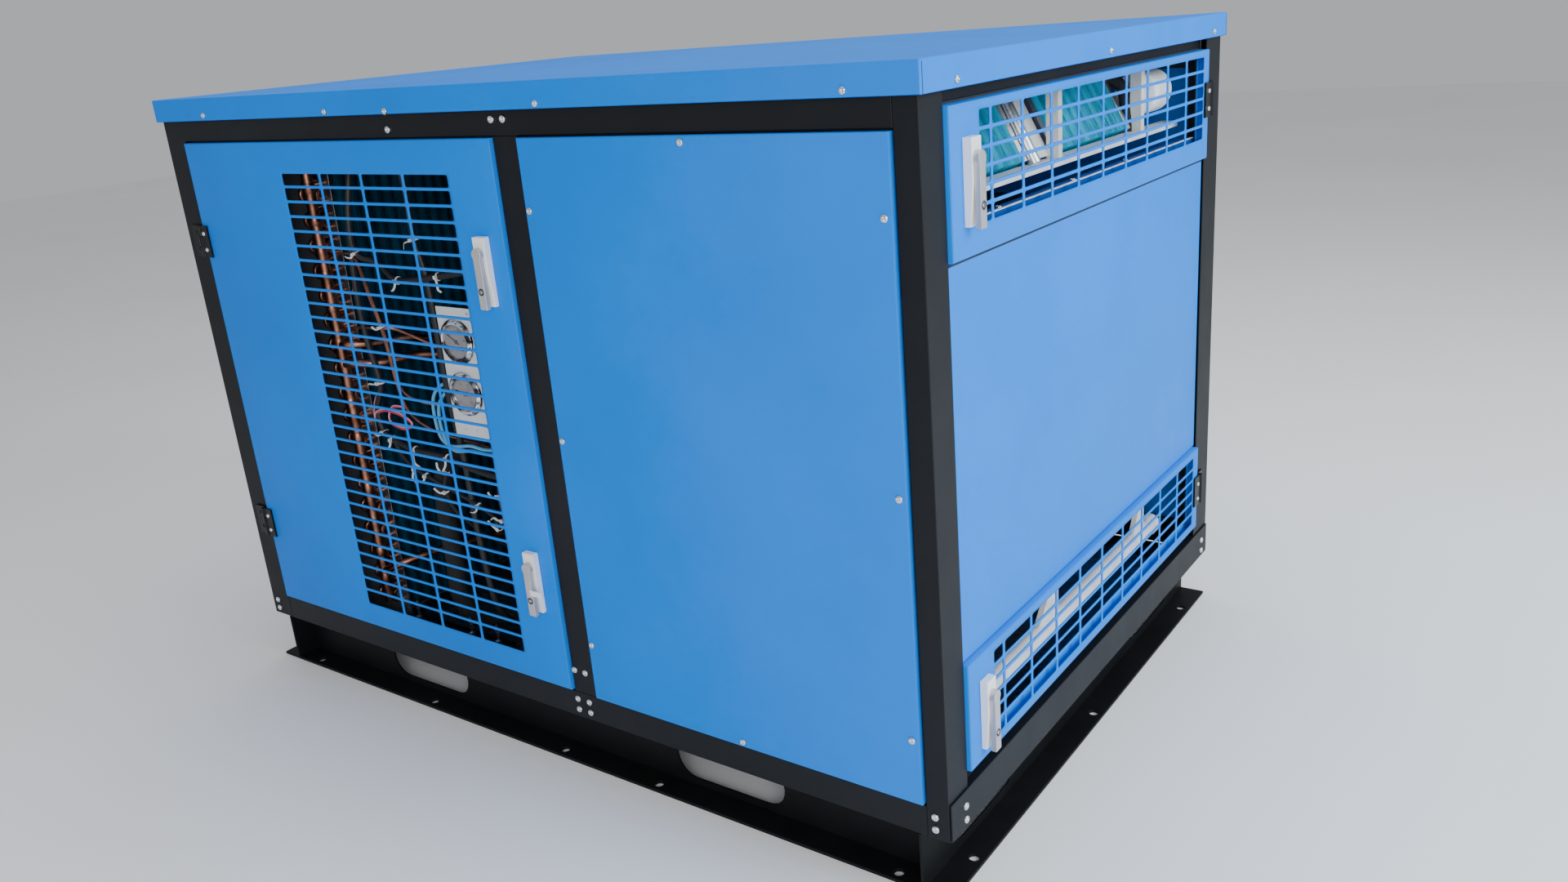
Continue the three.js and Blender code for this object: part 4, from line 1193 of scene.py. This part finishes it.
def add_fan_shroud():
    """A flared ring that leads the fan's air to the rear grille."""
    add_piece("fan_shroud", lathe(SHROUD_PROFILE, (FAN_X, 524, FAN_Z), INWARD, 64), "galvanised")


# ---- End coils ----

LEAN = math.radians(28.0)
END_COIL_TURN = Matrix.Translation((800, 0, 1066)) @ Matrix.Rotation(-LEAN, 4, "Y")
END_COIL_DEPTH, END_COIL_HEIGHT = 36, 128
END_COIL_FIN_PITCH = 3.2


def add_end_coil(node):
    low, high = box(node)
    thick, height = END_COIL_DEPTH, END_COIL_HEIGHT
    bm = bmesh.new()
    y_span = (low.y + 3, high.y - 3)
    add_fins(bm, y_span, END_COIL_FIN_PITCH, 0.35, (1 - thick, -1), (2, height - 2), END_COIL_TURN)
    add_block(bm, (6 - thick, low.y + 2, 3), (-6, high.y - 2, height - 3), END_COIL_TURN)
    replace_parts(add_piece(node + "_fins", bm, "coated_fin", "cabinet"), node)
    bm = blocks([
        ((-thick, low.y, 0), (0, low.y + 2, height)),
        ((-1.5, low.y, 0), (0, low.y + 14, height)),
        ((-thick, high.y - 2, 0), (0, high.y, height)),
        ((-1.5, high.y - 14, 0), (0, high.y, height)),
    ], END_COIL_TURN)
    round_edges(add_piece(node + "_brackets", bm, "bright_rail"), 0.5, 1)


PIPE_END_PROFILE = [
    (0, 0), (34, 0), (39, 3), (40, 8), (40, 88), (37, 97), (29, 103), (14, 106), (0, 107),
]
COIL_ELBOW = [(700, 290, 1150), (740, 318, 1160), (776, 330, 1140), (786, 330, 1090), (788, 328, 1056)]


def add_end_coils():
    add_end_coil("end_coil_front")
    add_end_coil("end_coil_rear")
    polished("coil_ledge", "ledge_white", width=0.8)
    ledge_top = box("coil_ledge")[1].z
    bm = blocks([((-4, -100, -2), (-2, -44, 126))], END_COIL_TURN)
    for y in (-48, 326):
        add_block(bm, (794, y, ledge_top), (816, y + 16, 1196))
    round_edges(add_piece("coil_end_posts", bm, "cream_paint"), 0.6, 1)
    add_piece("insulated_pipe_end", lathe(PIPE_END_PROFILE, (796, 343, 1124), INWARD, 32), "white_foam")
    foot = Vector((806, -118, ledge_top + 1))
    link = [foot, foot + Vector((-30, 0, 58)), foot + Vector((-62, 0, 120))]
    tube_piece("coil_link_pipe", [link], 11, "bright_rail", 16)
    tube_piece("coil_elbow", [COIL_ELBOW], 11, "insulation", 16)


PIPE_X, PIPE_Z = 813, 234
PIPE_CAP_PROFILE = [(0, 0), (20, 0), (21, 2), (21, 22), (18, 26), (0, 26)]
SADDLE_HALF = 6
SADDLE_FOOT, SADDLE_TOP = 253, 330


def add_lower_rail():
    """The white condensate pipe behind the lower end door, with its cap and two saddles."""
    route = [(PIPE_X, -470, PIPE_Z), (PIPE_X, 0, PIPE_Z), (PIPE_X, 408, PIPE_Z)]
    tube_piece("condensate_pipe", [route], 18, "pipe_white", 24)
    bm = lathe(PIPE_CAP_PROFILE, (PIPE_X, 396, PIPE_Z), INWARD)
    for start, end in ((-155, -71), (306, 362)):
        outline = [(start, SADDLE_FOOT), (end, SADDLE_FOOT), (end, SADDLE_TOP), (end - 8, SADDLE_TOP)]
        sides = [
            [bm.verts.new((x, y, z)) for y, z in outline]
            for x in (PIPE_X - SADDLE_HALF, PIPE_X + SADDLE_HALF)
        ]
        for side in sides:
            bm.faces.new(side)
        join_rings(bm, sides)
    round_edges(add_piece("condensate_saddles", bm, "tie_white"), 1.5, 2)


def add_inner_flanges():
    """The middle panel's folded top flange, which stands behind the lowest upper slots, coloured a darker
    blue as painted shade.
    """
    bm = blocks([
        ((855, -520, 1011), (857, 500, 1025)),
        ((835, -520, 1023), (855, 500, 1025)),
    ])
    round_edges(add_piece("end_flanges", bm, "flange_shade_blue"), 0.8, 2)
    # A thin white strip along the flange's front edge: a painted highlight where the edge catches the
    # light.
    add_piece("flange_edge_highlight", blocks([((852, -520, 1025.1), (857, 500, 1026.3))]), "ledge_white")
    # A thin black strip just under the upper door's bottom edge: a painted shadow line along the seam.
    low, high = box("middle_end_panel")
    bm = blocks([
        ((high.x - 0.2, low.y + 2, high.z - 3.0), (high.x + 0.9, high.y - 2, high.z - 0.4)),
    ])
    round_edges(add_piece("panel_seam_shadow", bm, "grommet"), 0.3, 1)
    screws("end_flange_screws", [(845, y, 1025) for y in (-330, -60, 170)], UPWARD, 5.0)


STOP_OUT, STOP_IN = 5.0, 14.0
STOP_PANELS = {
    "front": ("front_door", "front_fixed_panel"),
    "right": ("upper_end_door", "middle_end_panel", "lower_end_door"),
    "rear": ("rear_fan_panel", "rear_pipe_panel"),
    "left": ("left_end_panel",),
}


def add_stops():
    """Door stops: flat strips of the frame that close the seams from behind."""
    bm = bmesh.new()
    for face, panels in STOP_PANELS.items():
        for node in panels:
            low, high = face_box(node, face)
            y0, y1 = high.y + 1.0, high.y + 2.4
            x0, x1, z0, z1 = low.x - STOP_OUT, high.x + STOP_OUT, low.z + STOP_IN, high.z - STOP_IN
            for start, end in (
                ((x0, y0, z1), (x1, y1, high.z + STOP_OUT)),
                ((x0, y0, low.z - STOP_OUT), (x1, y1, z0)),
                ((x0, y0, z0), (low.x + STOP_IN, y1, z1)),
                ((high.x - STOP_IN, y0, z0), (x1, y1, z1)),
            ):
                add_block(bm, start, end, FACE_MATRIX[face])
    add_piece("door_stops", bm, "grommet")


# ---- Machinery ----

GROMMET_PROFILE = [(39, 0), (56, 0), (58, 2), (56, 5), (44, 7), (39, 9), (39, 0)]


def add_machinery():
    polished("compressor", "compressor_paint", width=2.0, segments=3, smooth_angle=50.0)
    polished("heat_exchanger", "insulation", width=3.0, segments=3)
    polished("fan_motor", "motor_paint", width=1.5)
    polished("fan_blade", "fan_metal", "fan", 0.6)
    polished("electrical_box", "box_grey", width=2.0)
    polished("cable_gland", "gland_plastic", width=0.8, smooth_angle=50.0)
    y = surface_of("rear_pipe_panel", "rear") - 0.5
    for z, label in ((780, "inlet"), (400, "outlet")):
        add_piece(label + "_grommet", lathe(GROMMET_PROFILE, (410, y, z), INWARD, 32), "grommet")


# ---- Studio ----

# Each light: place, aim, size, power and colour, in metres and watts.
LIGHTS = {
    "right_window": ((4.6, 0.6, 2.6), (0.6, 0.0, 0.6), (3.0, 2.4), 210.0, (0.80, 0.95, 1.0)),
    "front_fill": ((3.2, -3.9, 1.8), (0.6, -0.4, 0.6), (2.6, 2.2), 120.0, (1.0, 1.0, 1.0)),
    "ceiling": ((0.0, 0.4, 4.6), (0.0, 0.0, 0.6), (4.0, 3.0), 90.0, (1.0, 1.0, 1.0)),
}
FLOOR_HALF = 14.0


def add_light(name, place, aim, size, power, colour):
    data = bpy.data.lights.new(name, "AREA")
    data.shape = "RECTANGLE"
    data.size, data.size_y = size
    data.energy = power
    data.color = colour
    light = bpy.data.objects.new(name, data)
    bpy.context.scene.collection.objects.link(light)
    light.location = place
    direction = Vector(aim) - Vector(place)
    light.rotation_euler = direction.to_track_quat("-Z", "Y").to_euler()


def add_studio():
    bm = bmesh.new()
    bmesh.ops.create_grid(bm, x_segments=2, y_segments=2, size=FLOOR_HALF)
    mesh = plain_mesh(bm, "floor")
    floor = bpy.data.objects.new("floor", mesh)
    mesh.materials.append(MATERIALS["floor"])
    bpy.context.scene.collection.objects.link(floor)
    world = bpy.data.worlds.new("studio")
    world.use_nodes = True
    background = world.node_tree.nodes["Background"]
    background.inputs["Color"].default_value = (0.93, 0.96, 1.0, 1.0)
    background.inputs["Strength"].default_value = 0.50
    bpy.context.scene.world = world
    for name, light in LIGHTS.items():
        add_light(name, *light)


add_camera()
add_panels()
add_frame()
add_screws()
add_roof_seams()
add_latches()
add_lock_cover()
add_hinges()
add_gauges()
add_condenser()
add_baffle()
add_capillaries()
add_wiring()
add_ties()
add_service_valves()
add_circuit()
add_fan_shroud()
add_end_coils()
add_lower_rail()
add_inner_flanges()
add_stops()
add_machinery()
add_studio()
